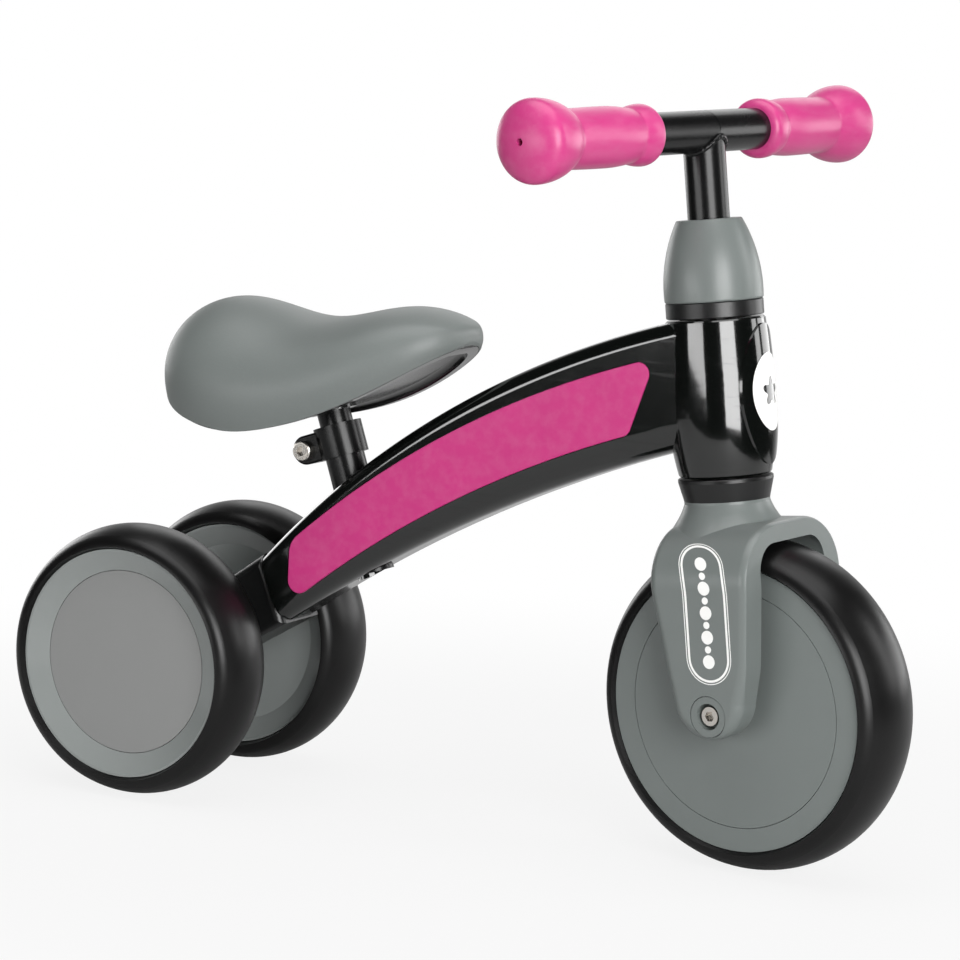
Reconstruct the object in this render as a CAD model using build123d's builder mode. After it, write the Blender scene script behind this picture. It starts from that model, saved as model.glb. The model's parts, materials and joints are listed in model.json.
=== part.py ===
from build123d import *
from math import asin, atan2, cos, degrees, pi, radians, sin
import os

os.makedirs("parts", exist_ok=True)

# A toddler's balance bike with one steered front wheel and two rear wheels.
# Millimetres, +X forward, +Y to the rider's left, +Z up, ground at Z = 0.

# Stance
FRONT_TYRE_D = 178.0
REAR_TYRE_D = 154.0
FRONT_TYRE_W = 48.3
REAR_TYRE_W = 46.0
WHEELBASE = 358.5
REAR_TRACK = 110.8

# Steering
HEAD_RAKE = 6.7
STEER_TURN = 9.0
FORK_OFFSET = 10.2

# Clearances
RUN_FIT = 0.06
SIDE_GAP = 0.4
LINE_GAP = 0.35
EDGE_BREAK = 0.5

# Wheel details
FRONT_TYRE_TALL = 13.2
FRONT_EDGE_HALF = 21.9
FRONT_LINE_IN = 12.4
REAR_TYRE_TALL = 12.3
REAR_EDGE_OUT = 19.9
REAR_EDGE_IN = 17.6
REAR_DISH_W = 12.5
REAR_DISH = 6.2
REAR_LIP_BEVEL = 1.3
CAP_LEDGE = 4.0
REAR_CAP_LEDGE = 6.0
LIP_T = 4.0
RIM_DEPTH = 4.0
RIM_T = 3.0
WEB_T = 4.0
CAP_T = 2.4
TYRE_STEP = 1.6
TYRE_SHOULDER = 0.7
AXLE_R = 5.0
BUSH_R = 8.0
HUB_BOSS_R = 13.0
REAR_BOSS_OUT = 3.0
FRONT_BUSH_L = 12.0
REAR_BUSH_L = 10.0
NUT_T = 5.5
NUT_FLAT = 15.0
WASHER_T = 1.0
WASHER_W = 4.0
AXLE_PROUD = 1.0

# Frame
ARCH_REAR_TOP = (61.2, 62.4)
ARCH_REAR_LOW = (66.0, 18.8)
ARCH_HEAD_TOP = (-52.0, 75.6)
ARCH_HEAD_LOW = (-53.0, 4.8)
REAR_CUT_TOP = (57.0, 66.0)
REAR_CUT_LOW = (74.5, 20.0)
ARCH_W = 48.0
ARCH_WALL = 4.0
ARCH_TOP_ROUND = 8.0
ARCH_LOW_ROUND = 15.0
ARCH_TOP_RISE = 17.5
ARCH_LOW_RISE = 9.5
BARREL_TOP_R = 26.4
BARREL_MID_R = 28.2
BARREL_LOW_R = 24.6
BARREL_H = 82.6
BARREL_BULGE = 32.0
BARREL_WALL = 6.0
STEP_GAP = 1.5
STEP_BEVEL = 1.0
PANEL_TOP_START = (80.7, 73.1)
PANEL_TOP_END = (-50.2, 59.4)
PANEL_LOW_START = (85.2, 40.1)
PANEL_LOW_END = (-63.3, 16.7)
PANEL_REAR_LOW = (77.5, 20.0)
PANEL_REAR_TOP = (79.0, 100.0)
PANEL_HEAD_TOP = (-34.0, 93.6)
PANEL_HEAD_LOW = (-63.5, 8.6)
PANEL_T = 2.3
PANEL_PROUD = 0.3
PANEL_EDGE = 0.7
PANEL_ROUND = 6.5
PANEL_REAR_ROUND = 14.0
PANEL_TIP_ROUND = 7.2
PANEL_TOP_RISE = 13.3
PANEL_LOW_RISE = 9.7
SCREW_SHARES = (0.14, 0.4, 0.64, 0.86)
SCREW_R = 2.0
SCREW_HEAD_R = 3.8
SCREW_BOSS_R = 5.5
SCREW_HEAD_T = 2.4
SCREW_SINK = 6.0
SCREW_CROSS = 4.6
SCREW_SLOT = 1.0
BADGE_UP = 42.0
BADGE_T = 1.2
BADGE_HALF = 19.5
BADGE_TALL = 37.0

CARRIER_HALF = 36.6
CARRIER_NOSE_R = 17.0
CARRIER_BOSS_R = 14.0
CARRIER_REACH = 88.0
CARRIER_IN = 3.0
CARRIER_INSET = 4.5
CARRIER_ROUND = 5.0

# Steering column
STEERER_R = 12.7
TUBE_R = 11.1
TUBE_WALL = 1.5
COLUMN_BUSH_R = 16.0
COLUMN_BUSH_H = 18.0
BUSH_FLANGE_R = 19.0
BUSH_FLANGE_T = 2.0
FLANGE_R = 18.0
FLANGE_T = 2.0
STEERER_UP = 32.1
STEM_BOLT_UP = 19.3
STEM_INSERT = 12.0
STEM_HEAD_T = 4.0
LOW_COLLAR_H = 12.0
LOW_COLLAR_TOP_R = 25.2
NECK_R = 22.7
NECK_H = 11.1
COLUMN_GAP = 0.8
UP_COLLAR_H = 8.4
UP_COLLAR_R = 25.8
CAP_LOW_R = 26.0
CAP_TOP_R = 17.2
CAP_H = 42.8
CAP_WALL = 2.5
CAP_BULGE = 3.0
CAP_EDGE = 1.2
BAR_ABOVE_CAP = 45.6

# Fork
LEG_OUT = 46.0
LEG_T = 15.5
LEG_END = 13.0
LEG_LOW = (-12.5, 30.5, 6.0)
LEG_KNEE = (-16.0, 35.0, 24.0)
LEG_HIGH = 66.0
FORK_BACK = 23.0
FORK_FRONT_REACH = 38.5
FORK_TYRE_GAP = 3.0
CROWN_TOP_T = 5.5
WELL_ROUND = 14.0
SHOULDER_ROUND = 31.0
FORK_ROUND = 6.0
FORK_TRIM = 2.0
LEG_BEND = 60.0
FLARE_UP = 9.6
FLARE_ANGLE = 38.0
PLUG_R = 11.0
PLUG_BORE_R = 7.0
PLUG_T = 4.0
BOLT_SINK = 8.0
BOLT_R = 3.0
BOLT_HEAD_R = 5.0
BOLT_HEAD_T = 6.0
BOLT_SOCKET = 5.0
BOLT_SOCKET_DEPTH = 3.0
AXLE_TAP = 14.0

# Handlebar
BAR_SWEEP = 2.1
GRIP_START = 50.0
GRIP_BALL_AT = 139.5
GRIP_BALL_R = 21.4
GRIP_BALL_HALF = 16.0
GRIP_END_HALF = 11.5
GRIP_NECK = 8.0
GRIP_SHOULDER = 0.72
GRIP_R = 15.1
GRIP_FLANGE_R = 15.9
GRIP_FLANGE_W = 13.0
GRIP_FLANGE_ROUND = 3.5
VENT_R = 1.3

# Saddle
SEAT_LEAN = 18.7
SEAT_AHEAD = 121.0
SEAT_RISE = 55.4
POST_R = 9.5
POST_FOOT = 20.0
POST_TOP = 126.0
POST_HEAD_T = 2.5
BOSS_GAP = 9.0
BOSS_WALL = 4.0
BOSS_SCREW_UP = 16.0
SEAT_TUBE_L = 84.0
CLAMP_R = 13.8
CLAMP_H = 18.0
CLAMP_OVER = 1.5
CLAMP_EAR = 18.5
CLAMP_EAR_R = 8.2
CLAMP_EAR_DROP = 0.7
CLAMP_HALF = 10.5
CLAMP_SLOT = 2.0
CLAMP_ROUND = 1.5
CLAMP_BOLT_R = 2.5
CLAMP_HEAD_R = 5.6
CLAMP_HEAD_T = 4.0
CLAMP_SOCKET = 5.2
CLAMP_SOCKET_DEPTH = 2.5
CLAMP_NUT_FLAT = 8.4
SADDLE_L = 186.5
SADDLE_BACK = -8.0
SADDLE_HALF = 64.0
SADDLE_LOW = 210.0
SADDLE_HIGH = 285.0
SADDLE_DIP = 11.0
SADDLE_NOSE_RISE = 48.0
PLAN_POWER = 2.6
SIDE_POWER = 2.8
NOSE_TAPER = 0.25
NOSE_LIFT = 20.0
CLIMB_START = 0.3
CLIMB_POWER = 1.6
WAVE_START = 0.15
WAVE_TURN = 507.0
SADDLE_STEPS = 8
END_SHARE = 0.006
SADDLE_WAIST = 0.3
SADDLE_ROUND = 0.95
SADDLE_SHOULDER = 0.82
SADDLE_TUCK = 0.07
SADDLE_WALL = 1.6
BASE_RIM = 5.5
BASE_WALL = 2.6
BASE_TALL = 10.0
BASE_SPARE = 6.0

# Derived stance
front_r = FRONT_TYRE_D / 2
rear_r = REAR_TYRE_D / 2
rake = radians(HEAD_RAKE)
turn = radians(STEER_TURN)
front_reach = (front_r - FRONT_TYRE_W / 2) * cos(turn) + FRONT_TYRE_W / 2
rear_x = -(WHEELBASE + front_reach - rear_r) / 2
front_edge_r = front_r - FRONT_TYRE_TALL
front_line_r = front_edge_r - FRONT_LINE_IN
rear_edge_r = rear_r - REAR_TYRE_TALL
rear_disc_r = rear_edge_r - REAR_DISH_W

# Heights along the head axis, from the foot of the fork offset
ceiling = front_r + FORK_TYRE_GAP
crown_top = ceiling + CROWN_TOP_T
neck_top = crown_top + NECK_H
barrel_low = neck_top + LOW_COLLAR_H + COLUMN_GAP
bush_top = barrel_low + BARREL_H

# Planes of the steering column. Local z runs up the head axis from the foot of the fork offset.
up = Vector(-sin(rake), 0, cos(rake))
ahead = Vector(cos(rake), 0, sin(rake))
foot = Vector(rear_x + WHEELBASE, 0, front_r) - ahead * FORK_OFFSET
steer_ahead = ahead * cos(turn) - Vector(0, 1, 0) * sin(turn)
head_side = Plane(origin=foot, x_dir=ahead, z_dir=(0, -1, 0))
head_axis = Axis(foot, up)
steer = Plane(origin=foot, x_dir=steer_ahead, z_dir=up)
steer_side = Plane(origin=foot, x_dir=steer_ahead, z_dir=steer.y_dir * -1)
steer_front = Plane(origin=foot, x_dir=steer.y_dir, z_dir=steer_ahead)
front_centre = foot + steer_ahead * FORK_OFFSET
front_section = Plane(origin=front_centre, x_dir=steer.y_dir, z_dir=steer_ahead)
front_axis = Axis(front_centre, steer.y_dir)

# Rear wheel plane. Local x runs outward to the right from the tyre's mid-plane, local y is radius.
half_track = REAR_TRACK / 2
rear_section = Plane(origin=(rear_x, -half_track, rear_r), x_dir=(0, -1, 0), z_dir=(-1, 0, 0))
rear_axis = Axis((rear_x, 0, rear_r), (0, 1, 0))

# Seat axis. Local z runs up the saddle post from the underside of the arch.
lean = radians(SEAT_LEAN)
seat_foot = Vector(rear_x + SEAT_AHEAD, 0, rear_r + SEAT_RISE)
seat_up = Vector(-sin(lean), 0, cos(lean))
seat_ahead = Vector(cos(lean), 0, sin(lean))
seat = Plane(origin=seat_foot, x_dir=seat_ahead, z_dir=seat_up)
seat_side = Plane(origin=seat_foot, x_dir=seat_ahead, z_dir=(0, -1, 0))


def arc_centre(start, end, rise):
    """Centre and radius of the arc from start to end that bulges up by rise."""
    chord = end - start
    radius = (chord.length**2 / 4 + rise**2) / (2 * rise)
    normal = Vector(-chord.Y, chord.X) / chord.length
    middle = (start + end) / 2
    return middle - normal * (radius - rise), radius


def oval(half, tall, shoulder):
    """Crown radius of a three-centred oval, and the angle at which its shoulder arcs meet the crown arc."""
    crown = ((half - shoulder) ** 2 + tall**2 - shoulder**2) / (2 * (tall - shoulder))
    return crown, degrees(atan2(crown - tall, half - shoulder))


def tyre_profile(half, outer, edge, edge_out, edge_in):
    """Tyre section: a base between the rim lips, a step beside the hub and an oval tread."""
    base = edge - RIM_DEPTH
    base_out = edge_out - LIP_T
    base_in = edge_in - LIP_T
    tall = outer - edge
    shoulder = TYRE_SHOULDER * tall
    crown, joint = oval(half, tall, shoulder)
    start = degrees(asin(TYRE_STEP / shoulder))
    side = half - shoulder
    step = (side + shoulder * cos(radians(start)), edge + TYRE_STEP)
    with BuildLine() as outline:
        Polyline(
            (-step[0], step[1]),
            (-edge_in, edge + SIDE_GAP),
            (-base_in, edge + SIDE_GAP),
            (-base_in, base),
            (base_out, base),
            (base_out, edge + SIDE_GAP),
            (edge_out, edge + SIDE_GAP),
            step,
        )
        CenterArc((side, edge), shoulder, start, joint - start)
        CenterArc((0, outer - crown), crown, joint, 180 - 2 * joint)
        CenterArc((-side, edge), shoulder, 180 - joint, joint - start)
    make_face(outline.edges())


# Front wheel
with BuildPart() as front_tyre:
    with BuildSketch(front_section):
        tyre_profile(FRONT_TYRE_W / 2, front_r, front_edge_r, FRONT_EDGE_HALF, FRONT_EDGE_HALF)
    revolve(axis=front_axis)

front_seat_r = front_edge_r - RIM_DEPTH
cap_seat = FRONT_EDGE_HALF - CAP_T
cap_ledge = front_line_r - CAP_LEDGE
with BuildPart() as front_hub:
    with BuildSketch(front_section):
        with Locations((0, front_seat_r - RIM_T / 2)):
            Rectangle(2 * FRONT_EDGE_HALF, RIM_T)
        lip_at = FRONT_EDGE_HALF - LIP_T / 2
        with Locations((lip_at, (front_edge_r + cap_ledge) / 2), (-lip_at, (front_edge_r + cap_ledge) / 2)):
            Rectangle(LIP_T, front_edge_r - cap_ledge)
        with Locations((0, (front_seat_r + HUB_BOSS_R) / 2 - 2)):
            Rectangle(WEB_T, front_seat_r - HUB_BOSS_R)
        with Locations((0, (HUB_BOSS_R + BUSH_R) / 2)):
            Rectangle(2 * cap_seat, HUB_BOSS_R - BUSH_R)
        cap_mid = cap_seat + CAP_T / 2
        with Locations((cap_mid, front_line_r / 2), (-cap_mid, front_line_r / 2)):
            Rectangle(CAP_T, front_line_r, mode=Mode.SUBTRACT)
    revolve(axis=front_axis)

with BuildPart() as front_cap_left:
    with BuildSketch(front_section):
        with Locations((FRONT_EDGE_HALF - CAP_T / 2, (front_line_r - LINE_GAP + BUSH_R) / 2)):
            Rectangle(CAP_T, front_line_r - LINE_GAP - BUSH_R)
    revolve(axis=front_axis)

with BuildPart() as front_cap_right:
    with BuildSketch(front_section):
        with Locations((CAP_T / 2 - FRONT_EDGE_HALF, (front_line_r - LINE_GAP + BUSH_R) / 2)):
            Rectangle(CAP_T, front_line_r - LINE_GAP - BUSH_R)
    revolve(axis=front_axis)

bush_bore = AXLE_R + RUN_FIT
with BuildPart() as front_bushes:
    with BuildSketch(front_section):
        for side in (1, -1):
            with Locations((side * (FRONT_EDGE_HALF - FRONT_BUSH_L / 2), (BUSH_R + bush_bore) / 2)):
                Rectangle(FRONT_BUSH_L, BUSH_R - bush_bore)
    revolve(axis=front_axis)

# Rear wheels, the right one first
with BuildPart() as rear_tyre_right:
    with BuildSketch(rear_section):
        tyre_profile(REAR_TYRE_W / 2, rear_r, rear_edge_r, REAR_EDGE_OUT, REAR_EDGE_IN)
    revolve(axis=rear_axis)

rear_seat_r = rear_edge_r - RIM_DEPTH
disc_out = REAR_EDGE_OUT - REAR_DISH
disc_in = REAR_EDGE_IN - REAR_DISH
rear_boss_in = half_track - CARRIER_HALF - SIDE_GAP
with BuildPart() as rear_hub_right:
    with BuildSketch(rear_section):
        with BuildLine():
            Polyline(
                (REAR_EDGE_OUT, rear_edge_r),
                (REAR_EDGE_OUT - LIP_T, rear_edge_r),
                (REAR_EDGE_OUT - LIP_T, rear_seat_r),
                (LIP_T - REAR_EDGE_IN, rear_seat_r),
                (LIP_T - REAR_EDGE_IN, rear_edge_r),
                (-REAR_EDGE_IN, rear_edge_r),
                (-REAR_EDGE_IN, rear_edge_r - REAR_LIP_BEVEL),
                (-disc_in, rear_disc_r),
                (-disc_in, HUB_BOSS_R),
                (-rear_boss_in, HUB_BOSS_R),
                (-rear_boss_in, BUSH_R),
                (REAR_BOSS_OUT, BUSH_R),
                (REAR_BOSS_OUT, HUB_BOSS_R),
                (WEB_T - disc_in, HUB_BOSS_R),
                (WEB_T - disc_in, rear_disc_r - REAR_CAP_LEDGE),
                (disc_out - CAP_T, rear_disc_r - REAR_CAP_LEDGE),
                (disc_out - CAP_T, rear_disc_r),
                (disc_out, rear_disc_r),
                (REAR_EDGE_OUT, rear_edge_r - REAR_LIP_BEVEL),
                close=True,
            )
        make_face()
    revolve(axis=rear_axis)

with BuildPart() as rear_cap_right:
    with BuildSketch(rear_section):
        with BuildLine():
            Polyline(
                (disc_out - CAP_T, 0),
                (disc_out, 0),
                (disc_out, rear_disc_r - LINE_GAP),
                (disc_out - CAP_T, rear_disc_r - LINE_GAP),
                close=True,
            )
        make_face()
    revolve(axis=rear_axis)

with BuildPart() as rear_bushes_right:
    with BuildSketch(rear_section):
        with Locations((REAR_BOSS_OUT - REAR_BUSH_L / 2, (BUSH_R + bush_bore) / 2)):
            Rectangle(REAR_BUSH_L, BUSH_R - bush_bore)
        with Locations((REAR_BUSH_L / 2 - rear_boss_in, (BUSH_R + bush_bore) / 2)):
            Rectangle(REAR_BUSH_L, BUSH_R - bush_bore)
    revolve(axis=rear_axis)

with BuildPart() as rear_tyre_left:
    mirror(rear_tyre_right.part, about=Plane.XZ)
with BuildPart() as rear_hub_left:
    mirror(rear_hub_right.part, about=Plane.XZ)
with BuildPart() as rear_cap_left:
    mirror(rear_cap_right.part, about=Plane.XZ)
with BuildPart() as rear_bushes_left:
    mirror(rear_bushes_right.part, about=Plane.XZ)

# Rear axle with a washer and a lock nut at each end
washer_in = half_track + REAR_BOSS_OUT + SIDE_GAP
axle_end = washer_in + WASHER_T + NUT_T + AXLE_PROUD
rear_mid = Plane(origin=(rear_x, 0, rear_r), x_dir=(1, 0, 0), z_dir=(0, -1, 0))
with BuildPart() as rear_axle:
    with BuildSketch(rear_mid):
        Circle(AXLE_R)
    extrude(amount=axle_end, both=True)
    chamfer(rear_axle.edges().filter_by(GeomType.CIRCLE), EDGE_BREAK)

with BuildPart() as axle_washers:
    with BuildSketch(rear_mid.offset(washer_in)):
        Circle(AXLE_R + WASHER_W)
        Circle(AXLE_R, mode=Mode.SUBTRACT)
    extrude(amount=WASHER_T)
    mirror(about=Plane.XZ)

with BuildPart() as axle_nuts:
    with BuildSketch(rear_mid.offset(washer_in + WASHER_T)):
        RegularPolygon(NUT_FLAT / 2, 6, major_radius=False)
        Circle(AXLE_R, mode=Mode.SUBTRACT)
    extrude(amount=NUT_T)
    mirror(about=Plane.XZ)

# Arch of the frame, drawn in side view between two arcs
rear_place = Vector(rear_x, rear_r)
barrel_place = Vector(foot.X, foot.Z + barrel_low)
arch_rear_top = rear_place + Vector(*ARCH_REAR_TOP)
arch_rear_low = rear_place + Vector(*ARCH_REAR_LOW)
arch_head_top = barrel_place + Vector(*ARCH_HEAD_TOP)
arch_head_low = barrel_place + Vector(*ARCH_HEAD_LOW)
arch_top, arch_top_r = arc_centre(arch_rear_top, arch_head_top, ARCH_TOP_RISE)
arch_low, arch_low_r = arc_centre(arch_rear_low, arch_head_low, ARCH_LOW_RISE)
rear_cut_top = rear_place + Vector(*REAR_CUT_TOP)
rear_cut_low = rear_place + Vector(*REAR_CUT_LOW)
rear_cut_along = (rear_cut_top - rear_cut_low).normalized()
rear_cut_ahead = Vector(rear_cut_along.Y, -rear_cut_along.X)
head_up = Vector(up.X, up.Z)
head_ahead = Vector(ahead.X, ahead.Z)
head_low = Vector(foot.X, foot.Z)


def arch_profile(inset, rear_gap, head_gap):
    """Side view of the arch, drawn in by inset and cut short of the rear end and the head axis."""
    with Locations((arch_top.X, arch_top.Y)):
        Circle(arch_top_r - inset)
    with Locations((arch_low.X, arch_low.Y)):
        Circle(arch_low_r + inset, mode=Mode.SUBTRACT)
    rear_point = rear_cut_low + rear_cut_ahead * rear_gap
    head_point = head_low - head_ahead * head_gap
    with BuildLine() as limits:
        Polyline(
            rear_point - rear_cut_along * 40,
            rear_point + rear_cut_along * 120,
            head_point + head_up * 260,
            head_point + head_up * 40,
            close=True,
        )
    make_face(limits.edges(), mode=Mode.INTERSECT)


with BuildPart() as arch_void:
    with BuildSketch(Plane.XZ):
        arch_profile(ARCH_WALL, -STEP_BEVEL, BARREL_MID_R + STEP_GAP)
    extrude(amount=ARCH_W / 2 - ARCH_WALL, both=True)
    fillet(arch_void.edges().filter_by(GeomType.CIRCLE), ARCH_WALL)

    # A sleeve round the seat tube and the screw bosses stay solid
    with BuildSketch(seat.offset(-30)):
        Circle(TUBE_R + ARCH_WALL)
    extrude(amount=150, mode=Mode.SUBTRACT)

screw_at = []
for share in SCREW_SHARES:
    along = arch_rear_top + (arch_head_top - arch_rear_top) * share
    below = arch_rear_low + (arch_head_low - arch_rear_low) * share
    lift = (ARCH_TOP_RISE + ARCH_LOW_RISE) * 2 * share * (1 - share)
    screw_at.append((along + below) / 2 + Vector(0, lift))

with BuildPart() as screw_bosses:
    with BuildSketch(Plane.XZ):
        with Locations(*[(point.X, point.Y) for point in screw_at]):
            Circle(SCREW_BOSS_R)
    extrude(amount=ARCH_W / 2 - ARCH_WALL, both=True)

panel_top, panel_top_r = arc_centre(
    rear_place + Vector(*PANEL_TOP_START), barrel_place + Vector(*PANEL_TOP_END), PANEL_TOP_RISE
)
panel_low, panel_low_r = arc_centre(
    rear_place + Vector(*PANEL_LOW_START), barrel_place + Vector(*PANEL_LOW_END), PANEL_LOW_RISE
)
panel_rear_low = rear_place + Vector(*PANEL_REAR_LOW)
panel_rear_top = rear_place + Vector(*PANEL_REAR_TOP)
panel_head_top = barrel_place + Vector(*PANEL_HEAD_TOP)
panel_head_low = barrel_place + Vector(*PANEL_HEAD_LOW)


def panel_profile(view, inset):
    """Side view of the inlay panel, drawn in by inset, with rounded corners, the upper rear one largest."""
    with Locations((panel_top.X, panel_top.Y)):
        Circle(panel_top_r - inset)
    with Locations((panel_low.X, panel_low.Y)):
        Circle(panel_low_r + inset, mode=Mode.SUBTRACT)
    with BuildLine() as limits:
        Polyline(
            panel_rear_low + Vector(inset, 0),
            panel_rear_top + Vector(inset, 0),
            (panel_rear_top.X + inset, panel_head_top.Y),
            panel_head_top - Vector(inset, 0),
            panel_head_low - Vector(inset, 0),
            close=True,
        )
    make_face(limits.edges(), mode=Mode.INTERSECT)
    fillet(view.vertices().sort_by(Axis.X)[:2].sort_by(Axis.Y)[0], PANEL_TIP_ROUND - inset)
    fillet(view.vertices().sort_by(Axis.X)[:2].sort_by(Axis.Y)[-1], PANEL_REAR_ROUND - inset)
    fillet(view.vertices().sort_by(Axis.X)[-2:], PANEL_ROUND - inset)


panel_floor = ARCH_W / 2 - PANEL_T + PANEL_PROUD
inner_low = barrel_low + BUSH_FLANGE_T + COLUMN_BUSH_H
inner_top = bush_top - BUSH_FLANGE_T - COLUMN_BUSH_H
barrel_bore_r = BARREL_TOP_R - BARREL_WALL
screw_places = [(point.X, point.Y) for point in screw_at]
head_depth = ARCH_W / 2 - ARCH_WALL - SCREW_SINK


def barrel_profile(proud):
    """Half section of the head barrel from its axis to its bulged wall, moved out by proud."""
    low = BARREL_LOW_R + proud
    middle = BARREL_MID_R + proud
    top = BARREL_TOP_R + proud
    wall_low = barrel_low + STEP_BEVEL
    wall_top = bush_top - STEP_BEVEL
    bulge = barrel_low + BARREL_BULGE
    with BuildLine() as wall:
        Polyline((top, wall_top), (top - STEP_BEVEL, bush_top), (0, bush_top), (0, barrel_low))
        Polyline((0, barrel_low), (low - STEP_BEVEL, barrel_low), (low, wall_low))
        ThreePointArc((low, wall_low), (middle - (middle - low) / 4, (wall_low + bulge) / 2), (middle, bulge))
        ThreePointArc((middle, bulge), (middle - (middle - top) / 4, (bulge + wall_top) / 2), (top, wall_top))
    make_face(wall.edges())


with BuildPart() as frame_body:
    with BuildSketch(Plane.XZ):
        arch_profile(0, 0, STEERER_R)
    extrude(amount=ARCH_W / 2, both=True)
    arcs = frame_body.edges().filter_by(GeomType.CIRCLE).sort_by(SortBy.RADIUS)
    fillet(arcs[:2], ARCH_TOP_ROUND)
    arcs = frame_body.edges().filter_by(GeomType.CIRCLE).sort_by(SortBy.RADIUS)
    fillet(arcs[-2:], ARCH_LOW_ROUND)
    with BuildSketch(head_side):
        barrel_profile(0)
    revolve(axis=head_axis)

    # Hollow, with seats for the two bushes in the barrel
    add(arch_void.part, mode=Mode.SUBTRACT)
    add(screw_bosses.part)
    with BuildSketch(head_side):
        with BuildLine():
            Polyline(
                (0, barrel_low),
                (BUSH_FLANGE_R, barrel_low),
                (BUSH_FLANGE_R, barrel_low + BUSH_FLANGE_T),
                (COLUMN_BUSH_R, barrel_low + BUSH_FLANGE_T),
                (COLUMN_BUSH_R, inner_low),
                (barrel_bore_r, inner_low),
                (barrel_bore_r, inner_top),
                (COLUMN_BUSH_R, inner_top),
                (COLUMN_BUSH_R, bush_top - BUSH_FLANGE_T),
                (BUSH_FLANGE_R, bush_top - BUSH_FLANGE_T),
                (BUSH_FLANGE_R, bush_top),
                (0, bush_top),
                close=True,
            )
        make_face()
    revolve(axis=head_axis, mode=Mode.SUBTRACT)

    # Clear space above the barrel, seat tube passage and the panel recesses
    with BuildSketch(Plane(origin=foot + up * bush_top, x_dir=ahead, z_dir=up)):
        Circle(BARREL_TOP_R + STEP_GAP)
    extrude(amount=BARREL_TOP_R, mode=Mode.SUBTRACT)
    with BuildSketch(seat.offset(-30)):
        Circle(TUBE_R)
    extrude(amount=150, mode=Mode.SUBTRACT)
    for recess in (Plane.XZ.offset(panel_floor), Plane.XZ.offset(-ARCH_W)):
        with BuildSketch(recess) as recess_view:
            panel_profile(recess_view, 0)
        extrude(amount=ARCH_W - panel_floor, mode=Mode.SUBTRACT)

with BuildPart() as frame_shell_right:
    add(frame_body.part)
    split(bisect_by=Plane.XZ, keep=Keep.TOP)
    with BuildSketch(Plane.XZ):
        with Locations(*screw_places):
            Circle(SCREW_R + RUN_FIT)
    extrude(amount=ARCH_W, mode=Mode.SUBTRACT)
    with BuildSketch(Plane.XZ.offset(head_depth)):
        with Locations(*screw_places):
            Circle(SCREW_HEAD_R + RUN_FIT)
    extrude(amount=ARCH_W, mode=Mode.SUBTRACT)

with BuildPart() as frame_shell_left:
    add(frame_body.part)
    split(bisect_by=Plane.XZ, keep=Keep.BOTTOM)
    with BuildSketch(Plane.XZ.offset(-head_depth)):
        with Locations(*screw_places):
            Circle(SCREW_R)
    extrude(amount=head_depth, mode=Mode.SUBTRACT)

with BuildPart() as frame_screws:
    with BuildSketch(Plane.XZ.offset(-head_depth)):
        with Locations(*screw_places):
            Circle(SCREW_R)
    extrude(amount=2 * head_depth)
    with BuildSketch(Plane.XZ.offset(head_depth)):
        with Locations(*screw_places):
            Circle(SCREW_HEAD_R)
    extrude(amount=SCREW_HEAD_T)
    with BuildSketch(Plane.XZ.offset(head_depth + SCREW_HEAD_T)):
        with Locations(*screw_places):
            Rectangle(SCREW_CROSS, SCREW_SLOT)
            Rectangle(SCREW_SLOT, SCREW_CROSS)
    extrude(amount=-SCREW_SLOT, mode=Mode.SUBTRACT)

with BuildPart() as side_panel_right:
    with BuildSketch(Plane.XZ.offset(panel_floor)) as panel_view:
        panel_profile(panel_view, LINE_GAP)
    extrude(amount=PANEL_T)
    fillet(side_panel_right.faces().sort_by(Axis.Y)[0].edges(), PANEL_EDGE)

with BuildPart() as side_panel_left:
    mirror(side_panel_right.part, about=Plane.XZ)

# Oval badge that covers the front of the shells' seam
badge_plane = Plane(origin=foot + up * (barrel_low + BADGE_UP), x_dir=(0, 1, 0), z_dir=ahead)
with BuildPart() as head_badge:
    with BuildSketch(head_side):
        barrel_profile(BADGE_T)
    revolve(axis=head_axis)
    with BuildSketch(head_side):
        barrel_profile(0)
    revolve(axis=head_axis, mode=Mode.SUBTRACT)
    with BuildSketch(badge_plane):
        Ellipse(BADGE_HALF, BADGE_TALL)
    extrude(amount=2 * BARREL_MID_R, mode=Mode.INTERSECT)

# Carrier between the arch and the rear axle
with BuildPart() as rear_carrier:
    with BuildSketch(Plane.XZ):
        with BuildLine():
            CenterArc((rear_x, rear_r), CARRIER_NOSE_R, 0, 360)
            Line(rear_cut_low + rear_cut_along * 3, rear_cut_top - rear_cut_along * 5)
        make_hull()
    extrude(amount=ARCH_W / 2 - CARRIER_IN, both=True)
    fillet(rear_carrier.edges().filter_by(Axis.Y, reverse=True).group_by(Axis.Y)[0], CARRIER_ROUND)
    fillet(rear_carrier.edges().filter_by(Axis.Y, reverse=True).group_by(Axis.Y)[-1], CARRIER_ROUND)
    with BuildSketch(rear_mid):
        Circle(CARRIER_BOSS_R)
    extrude(amount=CARRIER_HALF, both=True)
    with BuildSketch(Plane.XZ):
        arch_profile(ARCH_WALL + CARRIER_INSET, -ARCH_WALL, 0)
        with Locations((rear_x, rear_r)):
            Circle(CARRIER_REACH, mode=Mode.INTERSECT)
    extrude(amount=ARCH_W / 2 - ARCH_WALL - LINE_GAP, both=True)
    with BuildSketch(rear_mid):
        Circle(AXLE_R)
    extrude(amount=CARRIER_HALF, both=True, mode=Mode.SUBTRACT)

# Seat tube and its clamp
clamp_low = SEAT_TUBE_L + CLAMP_OVER - CLAMP_H
clamp_mid = clamp_low + CLAMP_H / 2
ear_mid = clamp_mid - CLAMP_EAR_DROP
with BuildPart() as seat_tube:
    with BuildSketch(seat):
        Circle(TUBE_R)
        Circle(POST_R + RUN_FIT, mode=Mode.SUBTRACT)
    extrude(amount=SEAT_TUBE_L)

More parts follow.
